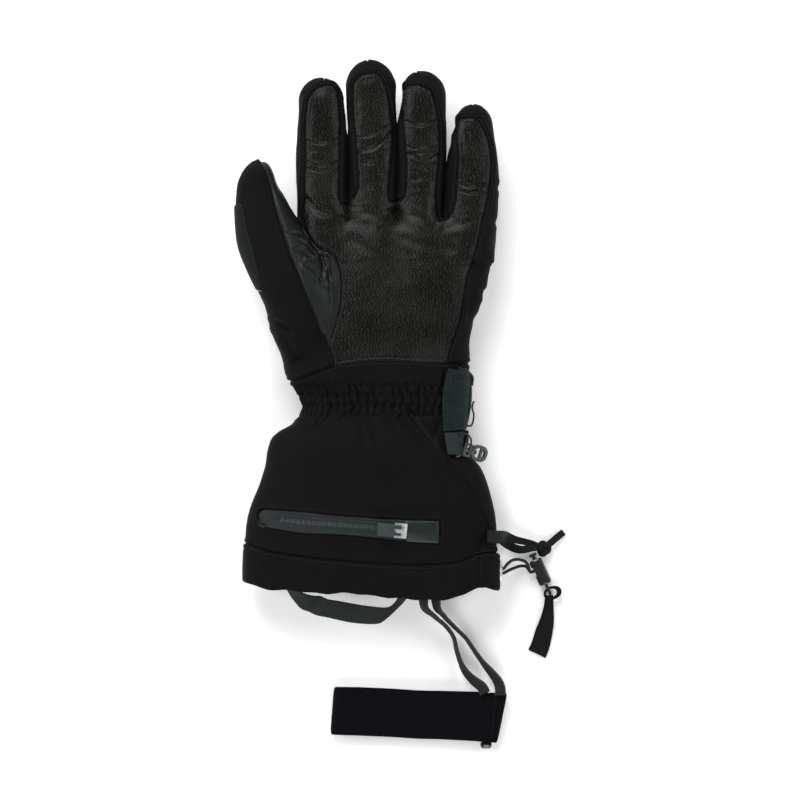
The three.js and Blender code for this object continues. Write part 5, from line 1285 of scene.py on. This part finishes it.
def threadsPiece(name, runs, material):
    points, faces, uv = [], [], []
    for places, normals, thick, sink in runs:
        lift = np.array([-sink * 2.2, thick * 0.42 - sink * 0.3, -sink * 2.2])[:, None]
        middle = places + normals * lift
        shoulders = [(middle[k] * 0.45 + middle[1] * 0.55) + normals[k] * thick * 0.28 for k in (0, 2)]
        line = np.array([middle[0], shoulders[0], middle[1], shoulders[1], middle[2]])
        rings = tubeRings(line, thick / 2, 6)
        mesh, loops = loft(rings)
        base = len(points)
        points += mesh.tolist()
        faces += [tuple(i + base for i in f) for f in outwardFaces(mesh, loops)]
        uv += [(k * 0.1, i * 0.3) for i in range(5) for k in range(6)] + [(0, 0), (0, 0)]
    return addPiece(name, points, faces, material, uv=uv)


def cuffTopZ(x, y, proud=0.0):
    # The cuff's smooth height at a place on its front.
    middleX, halfX, middleZ, halfZ = cuffSpan(np.asarray(y, float), proud)
    power = glove["bodyRound"]
    u = np.clip(np.abs(x - middleX) / halfX, 0, 0.985)
    return middleZ + halfZ * (1 - u ** power) ** (1 / power)


def patchGrid(leftEdge, rightEdge, rows, count):
    # Even places between two edges, each a list of X and Y from top to foot.
    left, right = (smoothLine(e) for e in (leftEdge, rightEdge))
    at = np.linspace(0, 1, rows)

    def along(line):
        run = np.concatenate([[0], np.cumsum(np.hypot(*np.diff(line, axis=0).T))])
        return np.stack([np.interp(at * run[-1], run, line[:, k]) for k in range(2)], 1)

    a, b = along(left), along(right)
    t = np.linspace(0, 1, count)[None, :, None]
    return a[:, None] * (1 - t) + b[:, None] * t


def patchPiece(name, grid, lift, rim, thick, material, nodeName=None, extra=None, base=cuffTopZ):
    # A thin piece sewn over the cuff: its rim rolls down by thick over rim millimetres.
    rows, count = grid.shape[:2]
    x, y = grid[..., 0], grid[..., 1]
    stepX, stepY = (np.hypot(*np.diff(grid, axis=k).transpose(2, 0, 1)) for k in (1, 0))
    across = np.cumsum(np.concatenate([np.zeros((rows, 1)), stepX], 1), 1)
    down = np.cumsum(np.concatenate([np.zeros((1, count)), stepY], 0), 0)
    edge = np.minimum(np.minimum(across, across[:, -1:] - across), np.minimum(down, down[-1:] - down))
    rolled = np.sqrt(np.clip(1 - (1 - np.clip(edge / rim, 0, 1)) ** 2, 0, 1))
    z = base(x, y) + lift - thick * (1 - rolled)
    points = np.stack([x, y, z], -1).reshape(-1, 3)
    if extra is not None:
        points = extra(points, edge.ravel(), across.ravel(), down.ravel())
    faces = gridFaces(rows, count, wrap=False)
    if pointNormals(points, triangles(faces))[:, 2].mean() < 0:
        faces = faces[:, ::-1]
    uv = np.stack([across.ravel() - across.max() / 2, down.ravel()], 1)
    piece = addPiece(name, points, faces, material, uv=uv)
    skins[name] = (points, triangles(faces))
    if nodeName:
        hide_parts(nodeName)
    return piece


zipper = {
    "tapeLift": 0.55, "toothPitch": 0.95, "toothWidth": 1.5, "from": -0.353, "to": 0.089,
    "ribs": 2.75, "garageFrom": 0.135, "garageWidth": 14.6, "garageRise": 1.2,
}
tapeX = np.concatenate([[zipEnds[0] - 1.6, zipEnds[0], zipEnds[0] + 2.2],
                        np.linspace(zipEnds[0] + 6, zipEnds[1], 130)])
tapeTop = zipY("top", np.maximum(tapeX, zipEnds[0])) + 0.5
tapeFoot = zipY("foot", np.maximum(tapeX, zipEnds[0])) - 0.5
tapeTop[:3] -= (6.2, 2.9, 0.9)
tapeFoot[:3] += (3.8, 0.4, -0.6)
t = np.linspace(0, 1, 34)[None, :, None]
tapeGrid = np.stack([tapeX, tapeTop], 1)[:, None] * (1 - t) + np.stack([tapeX, tapeFoot], 1)[:, None] * t


def tapeRelief(points, edge, across, down):
    # A groove down the middle where the two tapes meet, and a rib along each side of it.
    middle = (zipY("top", points[:, 0]) + zipY("foot", points[:, 0])) / 2
    off = np.abs(points[:, 1] - middle)
    points[:, 2] += 0.4 * np.exp(-((off - zipper["ribs"]) / 0.42) ** 2) - 0.35 * np.exp(-(off / 0.6) ** 2)
    points[:, 2] += 0.18 * noise(points, (12, 4, 9), 71) + 0.3 * np.exp(-((off - 5.1) / 0.5) ** 2)
    return points


patchPiece("zipTape", tapeGrid, zipper["tapeLift"], 0.8, 0.9, greyTape, "zip_tape", tapeRelief)
points, faces, uv = [], [], []
count = int((zipper["to"] - zipper["from"]) * cuffWide / zipper["toothPitch"])
for i in range(count):
    for side in (-1, 1):
        x = cuffX(zipper["from"]) + (i + (0.5 if side > 0 else 0)) * zipper["toothPitch"]
        middle = float(zipY("top", x) + zipY("foot", x)) / 2
        ends = [np.array([x, middle + side * off, 0]) for off in (-0.35, 0.35 + zipper["toothWidth"] * 0.5,
                                                                  zipper["toothWidth"] + 0.35)]
        for k, end in enumerate(ends):
            end[2] = cuffTopZ(end[0], end[1]) + zipper["tapeLift"] + (0.42, 0.5, 0.05)[k]
        rings = tubeRings(path(ends, 5)[0], 0.33, 6)
        mesh, loops = loft(rings)
        base = len(points)
        points += mesh.tolist()
        faces += [tuple(j + base for j in f) for f in outwardFaces(mesh, loops)]
        uv += [(0.3 * k, 0.2 * i) for k in range(len(mesh))]
piece = addPiece("zipCoil", points, faces, coilTape, uv=uv)
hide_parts("zip_teeth")

garageX = np.linspace(cuffX(zipper["garageFrom"]), zipEnds[1] - 0.2, 46)
garageMiddle = (zipY("top", garageX) + zipY("foot", garageX)) / 2
half = zipper["garageWidth"] / 2
t = np.linspace(-1, 1, 30)[None, :]
garageGrid = np.stack([garageX[:, None] + 0 * t, garageMiddle[:, None] - t * half], -1)


def garageRelief(points, edge, across, down):
    # It arches over the slider's end and lies flat at its far end.
    middle = (zipY("top", points[:, 0]) + zipY("foot", points[:, 0])) / 2
    off = (points[:, 1] - middle) / (zipper["garageWidth"] / 2)
    near = 1 - smoothStep(garageX[0], garageX[-1], points[:, 0])
    points[:, 2] += zipper["garageRise"] * (0.3 + 0.7 * near) * np.maximum(1 - off ** 2, 0) ** 1.5
    points[:, 2] += 0.15 * noise(points, 7, 72)
    return points


patchPiece("zipGarage", garageGrid, 1.05, 1.9, 1.2, garageHide, "zip_garage", garageRelief)
# A dark tube round the whole zip window: real piping at its left end and along its foot, and painted shade along
# its top edge, where there is only a shadow.
windowEdge = smoothLine(np.concatenate([zipWindow, zipWindow[:1]]))
windowEdge = np.stack([*windowEdge.T, cuffTopZ(windowEdge[:, 0], windowEdge[:, 1]) + 0.35], 1)
tubePiece("zipPiping", windowEdge, 0.75, elastic, step=0.9, sides=8)
print("zip made")


strap = {
    # Left and right edges of the strap, its flap, its tab and the dark elastic under it.
    "left": [(32, -61.4), (30.6, -66), (29.1, -71.4), (27.9, -82.9), (28.2, -93), (28.6, -101.8)],
    "right": [(45.6, -63.2), (46.6, -70), (46.9, -76), (46.6, -83), (45.3, -92), (43.4, -100.2)],
    "flapLeft": [(37.6, -60.6), (38.4, -63.6), (40.6, -68.4)],
    "flapRight": [(43.2, -61.7), (47.8, -66.6), (47.6, -72.8)],
    "tabLeft": [(29.4, -102.2), (30.4, -109), (31.6, -116)],
    "tabRight": [(41.6, -101.6), (41.3, -109), (40.4, -116.4)],
    "darkLeft": [(40.8, -101), (41.2, -106), (41, -111)],
    "darkRight": [(44.6, -100.8), (44.8, -105), (44.4, -110)],
}


def sideTop(x, y):
    # Over the gathers the strap bridges the dips and turns down less sharply at the glove's side.
    return np.minimum(cuffTopZ(x, y, 1.8), 46 - 0.055 * np.maximum(x - 33, 0) ** 2)


def strapRelief(points, edge, across, down):
    bend = 0.5 * noise(points, 13, 73) + 0.22 * noise(points, 5, 74)
    rows = 0.28 * (np.exp(-((down - 6.2) / 0.45) ** 2) + np.exp(-((down - 36.6) / 0.45) ** 2)
                   + np.exp(-((down - 39.2) / 0.4) ** 2))
    points[:, 2] += smoothStep(0, 3, edge) * bend - rows - 0.25 * np.exp(-((edge - 1.6) / 0.4) ** 2)
    return points


patchPiece("strapFlap", patchGrid(strap["flapLeft"], strap["flapRight"], 16, 14), 1.1, 1.2, 1.2, greyHide,
           base=sideTop)
patchPiece("wristStrap", patchGrid(strap["left"], strap["right"], 90, 42), 1.9, 1.3, 1.7, greyHide,
           "wrist_strap", strapRelief, sideTop)
patchPiece("strapTab", patchGrid(strap["tabLeft"], strap["tabRight"], 34, 28), 1.35, 0.9, 1.2, smoothHide,
           "strap_tab", base=sideTop)
patchPiece("strapUnder", patchGrid(strap["darkLeft"], strap["darkRight"], 26, 12), 0.3, 0.9, 0.8, elastic,
           base=sideTop)
print("wrist strap made")


ribbon = {"thick": 1.1, "strapWidth": 7, "strapThick": 1.3, "sideThick": 0.7,
          "upperWidth": 6.4, "lowerWidth": 5.6, "tailWidth": 4.4}
loop = {
    # The ribbon's outer and inner edge from above, and how high each runs.
    "outer": [(-71, -197.2), (-70.6, -201), (-65.8, -208.9), (-59.5, -215.2), (-45.6, -219), (-27.9, -222.8),
              (-12.3, -223.2), (-8.9, -221.5), (-1.3, -214.6), (5.6, -206.7), (8.2, -197.2)],
    "inner": [(-64, -197.2), (-64, -201.2), (-60.1, -203.8), (-53.2, -205.7), (-36.7, -208.9), (-18.4, -212),
              (-6, -212.6), (-2.4, -210.2), (0.6, -205), (2.4, -200), (3.2, -197.2)],
    "outerHigh": [35, 32, 25, 20.5, 18.5, 18, 19, 20, 22.5, 27, 33],
    "innerHigh": [37, 34.5, 30.5, 27, 24, 22.5, 24.5, 26.5, 31, 35, 38],
}


def edgeRibbon(name, shape, thick, material, nodeName=None, steps=150, bend=None):
    # A ribbon between two given edges.
    edges = []
    for line, high in ((shape["outer"], shape["outerHigh"]), (shape["inner"], shape["innerHigh"])):
        edges.append(path([(x, y, z) for (x, y), z in zip(line, high)], steps)[0])
    rings, uv = [], []
    run = 0
    middles = (edges[0] + edges[1]) / 2
    tangents = unit(np.gradient(middles, axis=0))
    for i in range(steps):
        across = edges[1][i] - edges[0][i]
        wide = np.linalg.norm(across)
        side = across / wide
        up = unit(np.cross(side, tangents[i]))
        up = up if up[2] > 0 else -up
        section = ribbonSection(wide, thick, 0.1)
        lift = bend(middles[i], section[:, 0]) if bend else 0 * section[:, 0]
        rings.append(middles[i] + section[:, :1] * side + (section[:, 1:] + lift[:, None]) * up)
        run += np.linalg.norm(middles[i] - middles[max(i - 1, 0)])
        uv += [(a, run) for a, _ in section]
    mesh, loops = loft(rings)
    uv += [uv[0], uv[-1]]
    piece = addPiece(name, mesh, outwardFaces(mesh, loops), material, uv=uv)
    if nodeName:
        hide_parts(nodeName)
    return piece


def loopBend(place, across):
    # A soft dent where the ribbon folds at its lower left.
    dent = -1.6 * math.exp(-((place[0] + 53) / 3.2) ** 2)
    return dent + 0.5 * math.exp(-((place[0] + 47) / 4) ** 2) + 0 * across


edgeRibbon("pullLoop", loop, ribbon["thick"], greyTape, "pull_loop", bend=loopBend)
# Places are shares: across the cuff's width, down its length from the wrist, and up its depth.
leashTurns = (0, 45, 72, 76, 76, 70, 40, 0)
leashRoutes = {
    "leashStrapLeft": route([
        (0.2085, 0.95, 0.81), (0.2115, 1.0446, 0.6), (0.255, 1.096, 0.36), (0.298, 1.143, 0.2),
        (0.327, 1.197, 0.13), (0.337, 1.2515, 0.11), (0.351, 1.31, 0.1), (0.37, 1.36, 0.12),
        (0.4, 1.402, 0.17), (0.437, 1.44, 0.235), (0.45, 1.47, 0.232)]),
    "leashStrapRight": route([
        (0.2555, 0.95, 0.81), (0.26, 1.0446, 0.6), (0.288, 1.09, 0.36), (0.335, 1.15, 0.2),
        (0.375, 1.2, 0.13), (0.413, 1.27, 0.11), (0.445, 1.325, 0.1), (0.475, 1.37, 0.12),
        (0.498, 1.41, 0.17), (0.508, 1.444, 0.235), (0.509, 1.48, 0.232)]),
}
for name, nodeName in (("leashStrapLeft", "leash_strap_left"), ("leashStrapRight", "leash_strap_right")):
    ribbonPiece(name, leashRoutes[name], ribbon["strapWidth"], ribbon["strapThick"], leashTurns, webbing,
                crown=0.2, nodeName=nodeName)

bandShape = {"length": 108, "width": 30.5, "thick": 1.7, "opening": 5.6, "around": 260, "across": 30,
             "sag": 0.7, "lean": 2.0, "spread": 0.04}


def makeBand():
    b = bandShape
    endX, endZ = b["length"] / 2 - b["thick"] / 2, b["opening"] / 2 + b["thick"] / 2
    flat, arc = 2 * (endX - endZ), math.pi * endZ
    rings, uv = [], []
    v = np.linspace(-1, 1, b["across"])
    for s in np.arange(b["around"]) / b["around"] * 2 * (flat + arc):
        part, along = divmod(s, flat + arc)
        sign = 1 if part == 0 else -1
        if along < flat:
            x, z, nx, nz = (flat / 2 - along) * sign, endZ * sign, 0.0, float(sign)
        else:
            a = math.pi / 2 + (along - flat) / endZ
            x, z = (-flat / 2 + endZ * math.cos(a)) * sign, endZ * math.sin(a) * sign
            nx, nz = math.cos(a) * sign, math.sin(a) * sign
        half = b["thick"] / 2 * np.sqrt(1 - np.abs(v) ** 10)
        share = x / (b["length"] / 2)
        y = v * b["width"] / 2 * (1 + b["spread"] * share)
        lean = b["lean"] * v * smoothStep(0.5, 1, share) + 0.6 * v
        low = smoothStep(1, -1, z)
        y = y + low * 1.1 * smoothStep(0.2, -0.8, share)
        bend = -b["sag"] * smoothStep(0, 2, z) * (1 - share ** 2) + 0 * v
        outside = np.stack([x + nx * half + lean, y, z + nz * half + bend], 1)
        inside = np.stack([x - nx * half + lean, y, z - nz * half + bend], 1)[::-1]
        rings.append(np.vstack([outside, inside]))
        uv += [(float(k) * b["width"] / 2, s) for k in (*v, *v[::-1])]
    grid = np.array(rings)
    n, m = grid.shape[:2]
    i, j = np.meshgrid(np.arange(n), np.arange(m), indexing="ij")
    nextRing, nextSide = (i + 1) % n * m, (j + 1) % m
    faces = np.stack([i * m + j, i * m + nextSide, nextRing + nextSide, nextRing + j], -1)
    points = grid.reshape(-1, 3)
    wave = 0.3 * noise(points, (22, 12, 50), 81) + 0.12 * noise(points, (7, 5, 50), 82)
    points[:, 2] += wave * (points[:, 2] > 0)
    points[:, 1] += 0.3 * noise(points, (17, 60, 60), 83)
    joint = points[:, 0] - (b["length"] / 2 - 4.6)
    points[:, 2] += (points[:, 2] > 0) * (0.55 * smoothStep(-0.5, 0.5, joint)
                                          - 0.25 * np.exp(-(joint / 0.6) ** 2))
    turn = -math.radians(bandPlace["turn"])
    c, s = math.cos(turn), math.sin(turn)
    x = cuffX(bandPlace["across"]) + c * points[:, 0] - s * points[:, 1]
    y = cuffY(bandPlace["at"]) + s * points[:, 0] + c * points[:, 1]
    points = np.stack([x, y, points[:, 2] + b["opening"] / 2 + b["thick"] + 0.05], 1)
    return points, faces.reshape(-1, 4), uv


points, faces, uv = makeBand()
faces = outwardFaces(points, faces)
skins["leashBand"] = (points, triangles(np.array(faces)))
piece = addPiece("leashBand", points, faces, elastic, uv=uv)
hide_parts("leash_band")

upperRoute = route([(0.4587, 0.695, 0.85), (0.484, 0.696, 0.815), (0.5145, 0.696, 0.71), (0.527, 0.698, 0.5),
                    (0.54, 0.703, 0.3), (0.564, 0.712, 0.18), (0.6, 0.722, 0.13), (0.634, 0.732, 0.12),
                    (0.655, 0.743, 0.1), (0.672, 0.753, 0.09)])
lowerRoute = route([(0.4587, 0.705, 0.795), (0.482, 0.707, 0.77), (0.505, 0.709, 0.65), (0.512, 0.712, 0.47),
                    (0.522, 0.722, 0.28), (0.541, 0.74, 0.13), (0.565, 0.755, 0.07), (0.588, 0.762, 0.08),
                    (0.613, 0.759, 0.1), (0.637, 0.753, 0.12), (0.662, 0.752, 0.1)])
ribbonPiece("sideRibbonUpper", upperRoute, ribbon["upperWidth"], ribbon["sideThick"],
            (0, 0, 0, 10, 20, 30), sideTape, steps=60, nodeName="lock_ribbon_upper",
            widths=([0, 0.45, 0.7, 1], [1.15, 1.1, 0.75, 0.62]))
ribbonPiece("sideRibbonLower", lowerRoute, ribbon["lowerWidth"], ribbon["sideThick"], (0,), sideTape,
            steps=60, nodeName="lock_ribbon_lower",
            widths=([0, 0.4, 0.75, 1], [1.1, 1.05, 0.95, 0.7]))
tailRoute = route([(0.69, 0.745, 0.09), (0.705, 0.73, 0.07), (0.727, 0.706, 0.05), (0.757, 0.675, 0.03)])
ribbonPiece("ribbonTail", tailRoute, ribbon["tailWidth"], ribbon["thick"], (12, 4, 0), sideTape,
            steps=30, crown=0.25, nodeName="ribbon_tail")
knot = {"across": 0.6795, "at": 0.757, "height": 3.5, "radius": 2.55, "ribbonWidth": 3.4, "ribbonThick": 1.5}
knotLine = []
for a in np.linspace(0, 2 * math.pi, 120):
    r = knot["radius"] * (2 + math.cos(1.5 * 2 * a)) / 2.4
    knotLine.append((r * math.cos(2 * a), 1.18 * r * math.sin(2 * a),
                     knot["radius"] * 0.55 * math.sin(3 * a)))
rings = []
tangents = unit(np.gradient(np.array(knotLine), axis=0))
for place, tangent in zip(np.array(knotLine), tangents):
    side = unit(np.cross((0, 0, 1), tangent))
    section = ribbonSection(knot["ribbonWidth"], knot["ribbonThick"], 0.25)
    up = np.cross(tangent, side)
    rings.append(place + section[:, :1] * side + section[:, 1:] * up)
points, faces = loft(rings)
points = points + (cuffX(knot["across"]), cuffY(knot["at"]), knot["height"])
uv = [(a, 0.35 * i) for i in range(len(rings)) for a, _ in section] + [(0, 0), (0, 0)]
piece = addPiece("ribbonKnot", points, outwardFaces(points, faces), sideTape, uv=uv)
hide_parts("ribbon_knot")
print("ribbons made")


lock = {"across": 0.6444, "at": 0.8114, "turn": 24.3, "length": 17, "depth": 7, "cord": 2,
        "pullDrop": 2.6, "ringRim": 1.7, "tabThick": 2.2, "tabWidth": 11, "room": 0.3}
lockMiddle = np.array([cuffX(lock["across"]), cuffY(lock["at"]), lock["depth"] / 2 + 0.3])


def inLock(x, y, z):
    c, s = math.cos(math.radians(lock["turn"])), math.sin(math.radians(lock["turn"]))
    return lockMiddle + (x * c - y * s, x * s + y * c, z)


barFrom = lock["length"] + lock["pullDrop"]
barTo = barFrom + lock["ringRim"]
overBar = lock["tabThick"] / 2 + lock["cord"] / 2 + 2 * lock["room"]
beyond = barTo + lock["cord"] / 2 + 4 * lock["room"]


def halfCord(side):
    strand = lock["cord"] / 2 + 0.15
    return [inLock(x, y, side * strand) for x, y in ((-5.6, -6.1), (-3, -6.3), (-0.7, -7.6), (0, -10),
                                                      (0, 0.6 - lock["length"]))] + [
        inLock(0, -barFrom, side * overBar), inLock(0, 0.3 - barTo, side * overBar)]


upperStrand = route([(0.47, 0.862, 0.455), (0.5, 0.862, 0.457), (0.52, 0.856, 0.44), (0.535, 0.835, 0.37),
                     (0.557, 0.814, 0.23), (0.5841, 0.8105, 0.14), (0.611, 0.826, 0.11)])
lowerStrand = route([(0.47, 0.88, 0.405), (0.5, 0.88, 0.404), (0.52, 0.878, 0.385), (0.537, 0.867, 0.3),
                     (0.564, 0.852, 0.17), (0.592, 0.842, 0.078), (0.611, 0.846, 0.058)])
cordPath = [*upperStrand, *halfCord(1), inLock(0, -beyond, 0), *halfCord(-1)[::-1], *lowerStrand[::-1]]
cordPiece, cordLine = tubePiece("drawcordBraid", cordPath, lock["cord"], braid, "drawcord",
                                step=0.35, sides=14)

pullRows = columns(("x", "at", "z", "wide"), [
    (0.7, 1.003, 0.081, 0.5), (0.698, 1.045, 0.07, 0.58), (0.692, 1.108, 0.054, 0.8), (0.68, 1.168, 0.036, 0.96),
    (0.6665, 1.232, 0.028, 1), (0.652, 1.276, 0.028, 1)])
rings, uv = [], []
stations = np.linspace(0.985, 1.276, 44)
for at in stations:
    wide = readTable(pullRows, "at", "wide", at) * lock["tabWidth"]
    place = np.array([cuffX(readTable(pullRows, "at", "x", at)), cuffY(at),
                      max(readTable(pullRows, "at", "z", at) * cuffDeep, lock["tabThick"] / 2)])
    lean = -1.75 * max(at - 1, 0)
    section = ribbonSection(wide, lock["tabThick"] * (0.9 - 0.3 * smoothStep(1.0, 1.08, at)), 0.2)
    side = np.array([1, lean, 0])
    rings.append(place + section[:, :1] * side + section[:, 1:] * np.array([0, 0, 1]))
    uv += [(a, (at - 1) * cuffLong) for a, _ in section]
points, faces = loft(rings)
below = smoothStep(1.0, 1.1, (wristY - points[:, 1]) / cuffLong)
points[:, 2] += 0.5 * np.sin((points[:, 1] + 230) / 6.5) * below ** 2
uv += [uv[0], uv[-1]]
points = points.tolist()
faces = outwardFaces(np.array(points), faces)
# The pull's ring is fatter on the side where it is sewn to its tab.
pullRing = {"along": 4, "halfWide": 4.45, "halfHigh": 3.35, "outWide": 5.3, "outHigh": 4.2, "thick": 0.85,
            "fatter": 0.9, "sides": 12, "stations": 60}
ringMiddle = inLock(1, -barFrom - pullRing["along"], 0)
ringRings = []
c, s = math.cos(math.radians(lock["turn"])), math.sin(math.radians(lock["turn"]))
for a in np.linspace(0, 2 * math.pi, pullRing["stations"] + 1)[:-1]:
    fat = 1 + pullRing["fatter"] * max(math.cos(a + 0.25), 0) ** 2
    core = np.array([pullRing["halfWide"] * math.cos(a), pullRing["halfHigh"] * math.sin(a)])
    out = np.array([math.cos(a) / pullRing["outWide"], math.sin(a) / pullRing["outHigh"]])
    out = out / np.hypot(*out)
    loopRing = []
    for k in range(pullRing["sides"]):
        b = 2 * math.pi * k / pullRing["sides"]
        spot = core + out * pullRing["thick"] * fat * math.cos(b) + out * 0.5 * (fat - 1)
        loopRing.append((ringMiddle[0] + spot[0] * c - spot[1] * s,
                         ringMiddle[1] + spot[0] * s + spot[1] * c,
                         lockMiddle[2] + lock["tabThick"] / 2 * fat ** 0.6 * math.sin(b)))
    ringRings.append(loopRing)
ringPoints, ringFaces = loft(np.array(ringRings + ringRings[:1]), closeEnds=False)
ringFaces = outwardFaces(ringPoints, ringFaces)
faces += [tuple(i + len(points) for i in f) for f in ringFaces]
points += ringPoints.tolist()
uv += [(0.9 * k, 0.5 * i) for i in range(pullRing["stations"] + 1) for k in range(pullRing["sides"])]
pullPiece = addPiece("cordPull", points, faces, pullTwill, uv=uv)
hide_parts("cord_pull")

hookCord = route([(0.343, 0.189, 0.8), (0.362, 0.187, 0.815), (0.385, 0.2, 0.83), (0.395, 0.228, 0.86),
                  (0.389, 0.258, 0.84), (0.3805, 0.2685, 0.785), (0.376, 0.254, 0.725), (0.3775, 0.22, 0.7),
                  (0.379, 0.201, 0.71)])
tubePiece("hookCord", hookCord, 1.2, greyTape, "hook_cord", step=0.4, sides=10)
sideCord = route([(0.3785, 0.152, 0.58), (0.395, 0.15, 0.6), (0.405, 0.1, 0.6), (0.3985, 0.06, 0.6),
                  (0.405, 0.03, 0.6)])
tubePiece("sideCord", sideCord, 1.2, greyTape, "side_cord", step=0.4, sides=10)
print("cords made")


# Solids kept from the part get rounded edges and their own finishes.
for nodeName, material, width in (
        ("grommet", steel, 0.25), ("zip_slider", steel, 0.25), ("zip_pull", gripPlastic, 0.35),
        ("cord_lock", lockPlastic, 0.5), ("cord_lock_button", lockPlastic, 0.35), ("hook_eye", hookPlastic, 0.4),
        ("hook_clip", hookPlastic, 0.55), ("tab_bar", hookPlastic, 0.2), ("leash_toggle", lockPlastic, 0.4)):
    kept = bpy.data.objects[nodeName]
    kept.data.materials.clear()
    kept.data.materials.append(material)
    bevel = kept.modifiers.new("softEdges", "BEVEL")
    bevel.width, bevel.segments = width / 1000, 3
    bevel.limit_method, bevel.angle_limit = "ANGLE", 0.6
    bevel.harden_normals = True
    kept.data.polygons.foreach_set("use_smooth", [True] * len(kept.data.polygons))


# Each kind of stitch: its pitch, its length and its thread's thickness.
stitch = {
    "leather": (2.1, 1.45, 0.5), "wiper": (2.2, 1.3, 0.34), "hem": (2.5, 1.5, 0.34), "zip": (2.2, 1.2, 0.3),
    "wrist": (2.4, 1.4, 0.3), "overlap": (2.2, 1.3, 0.35), "tackTop": (1.5, 1.1, 0.5),
    "tackFoot": (1.7, 1.1, 0.5), "loopTack": (1.5, 1.0, 0.45), "strapTop": (2.0, 1.3, 0.42),
    "strapFoot": (1.9, 1.3, 0.42), "band": (1.8, 1.2, 0.4),
}
trees = {
    "hand": surfaceTree(["palmLeather", "handCloth", "thumbLeather", "thumbCloth", "thumbWiper"]),
    "cuff": surfaceTree(["cuffFront", "cuffBack", "cuffHem"]),
    "strap": surfaceTree(["wristStrap", "strapTab", "strapFlap"]), "band": surfaceTree(["leashBand"]),
}
hemX = np.arange(cuffX(-0.49), cuffX(0.46), 1.5)
wristX = np.arange(-33, 34, 1.5)
overlapY = np.arange(-182, -200, -1.5)
zipLines = [np.stack([zipStations, zipY(name, zipStations) + sign * 2.1], 1)
            for sign, name in ((1, "top"), (-1, "foot"))]
garageEnd = [(zipEnds[1] + 2, zipY(name, zipEnds[1]) + sign * 1.5) for sign, name in ((1, "top"), (-1, "foot"))]
bandX, bandY = cuffX(bandPlace["across"]), cuffY(bandPlace["at"])

# Each piece of stitching: its thread, its slot, its surface, and the kind, line and shift of each row.
for name, material, slot, tree, rows in (
        ("leatherStitches", darkThread, "leather", "hand", [("leather", frontOutline, 1.0)]),
        ("wiperStitches", greyThread, "grey_leather", "hand", [("wiper", wiperSeam, -1.0)]),
        ("clothStitches", clothThread, "softshell", "cuff", [
            ("hem", np.stack([hemX, edgeY("hemTop", hemX) - 1.9], 1), 0),
            *(("zip", line, 0) for line in (*zipLines, garageEnd)),
            ("wrist", np.stack([wristX, edgeY("seam", wristX) - 1.7], 1), 0)]),
        ("darkStitches", darkThread, "softshell", "cuff", [
            ("overlap", np.stack([overlapY * 0 + 52.6, overlapY], 1), 0),
            ("tackTop", [(49, -178.5), (57, -176.8), (63.5, -178.6)], 0),
            ("tackFoot", [(49, -180.6), (57, -179), (63.5, -180.6)], 0),
            ("loopTack", [(-2.6, -171), (6, -172)], 0)]),
        ("strapStitches", darkThread, "grey_leather", "strap", [
            ("strapTop", [(31.2, -67.6), (38, -66.6), (45.6, -68.2)], 0),
            ("strapFoot", [(29.2, -98), (36, -98.2), (43.2, -97)], 0),
            ("strapFoot", [(29.2, -100.7), (36, -100.6), (42.6, -99.6)], 0)]),
        ("bandStitches", darkThread, "elastic", "band", [
            ("band", [(bandX + 49.8, bandY + 13), (bandX + 47.2, bandY - 16)], 0)])):
    runs = [run for kind, line, shift in rows for run in stitchRun(trees[tree], line, *stitch[kind], shift)]
    threadsPiece(name, runs, material)
print("stitches made")


stage = {
    "viewWidth": 0.50648, "cameraPlace": (0, 0.00356, 3), "floorGlow": 0.16, "skyGlow": 0.16,
    # Each light: its name, place, size and power.
    "lights": [("topLight", (-0.5, 1.55, 1.3), 1.3, 43), ("frontLight", (0.3, -1.8, 1.25), 1.2, 26),
               ("leftLight", (-1.8, 0.1, 0.95), 1.0, 22), ("rightLight", (1.8, 0.3, 1.0), 1.0, 16)],
}


def addStage():
    scene = bpy.context.scene
    camera = bpy.data.objects.new("camera", bpy.data.cameras.new("camera"))
    scene.collection.objects.link(camera)
    camera.data.type = "ORTHO"
    camera.data.ortho_scale = stage["viewWidth"]
    camera.location = stage["cameraPlace"]
    scene.camera = camera
    floorMaterial, _, shader = newMaterial("paleFloor")
    shader.inputs["Base Color"].default_value = (0.94, 0.94, 0.94, 1)
    shader.inputs["Roughness"].default_value = 0.9
    shader.inputs["Specular IOR Level"].default_value = 0.1
    shader.inputs["Emission Color"].default_value = (1, 1, 1, 1)
    shader.inputs["Emission Strength"].default_value = stage["floorGlow"]
    mesh = bpy.data.meshes.new("floor")
    mesh.from_pydata([(-6, -6, 0), (6, -6, 0), (6, 6, 0), (-6, 6, 0)], [], [(0, 1, 2, 3)])
    mesh.materials.append(floorMaterial)
    floor = bpy.data.objects.new("floor", mesh)
    floor.location.z = -0.0002
    scene.collection.objects.link(floor)
    for name, place, size, power in stage["lights"]:
        lamp = bpy.data.lights.new(name, "AREA")
        lamp.size, lamp.energy = size, power
        light = bpy.data.objects.new(name, lamp)
        light.location = place
        light.rotation_euler = (-Vector(place)).to_track_quat("-Z", "Y").to_euler()
        scene.collection.objects.link(light)
    world = bpy.data.worlds.new("studio")
    world.use_nodes = True
    background = world.node_tree.nodes["Background"]
    background.inputs["Color"].default_value = (1, 1, 1, 1)
    background.inputs["Strength"].default_value = stage["skyGlow"]
    scene.world = world
    scene.view_settings.view_transform = "Standard"


addStage()
print("camera and lights set")
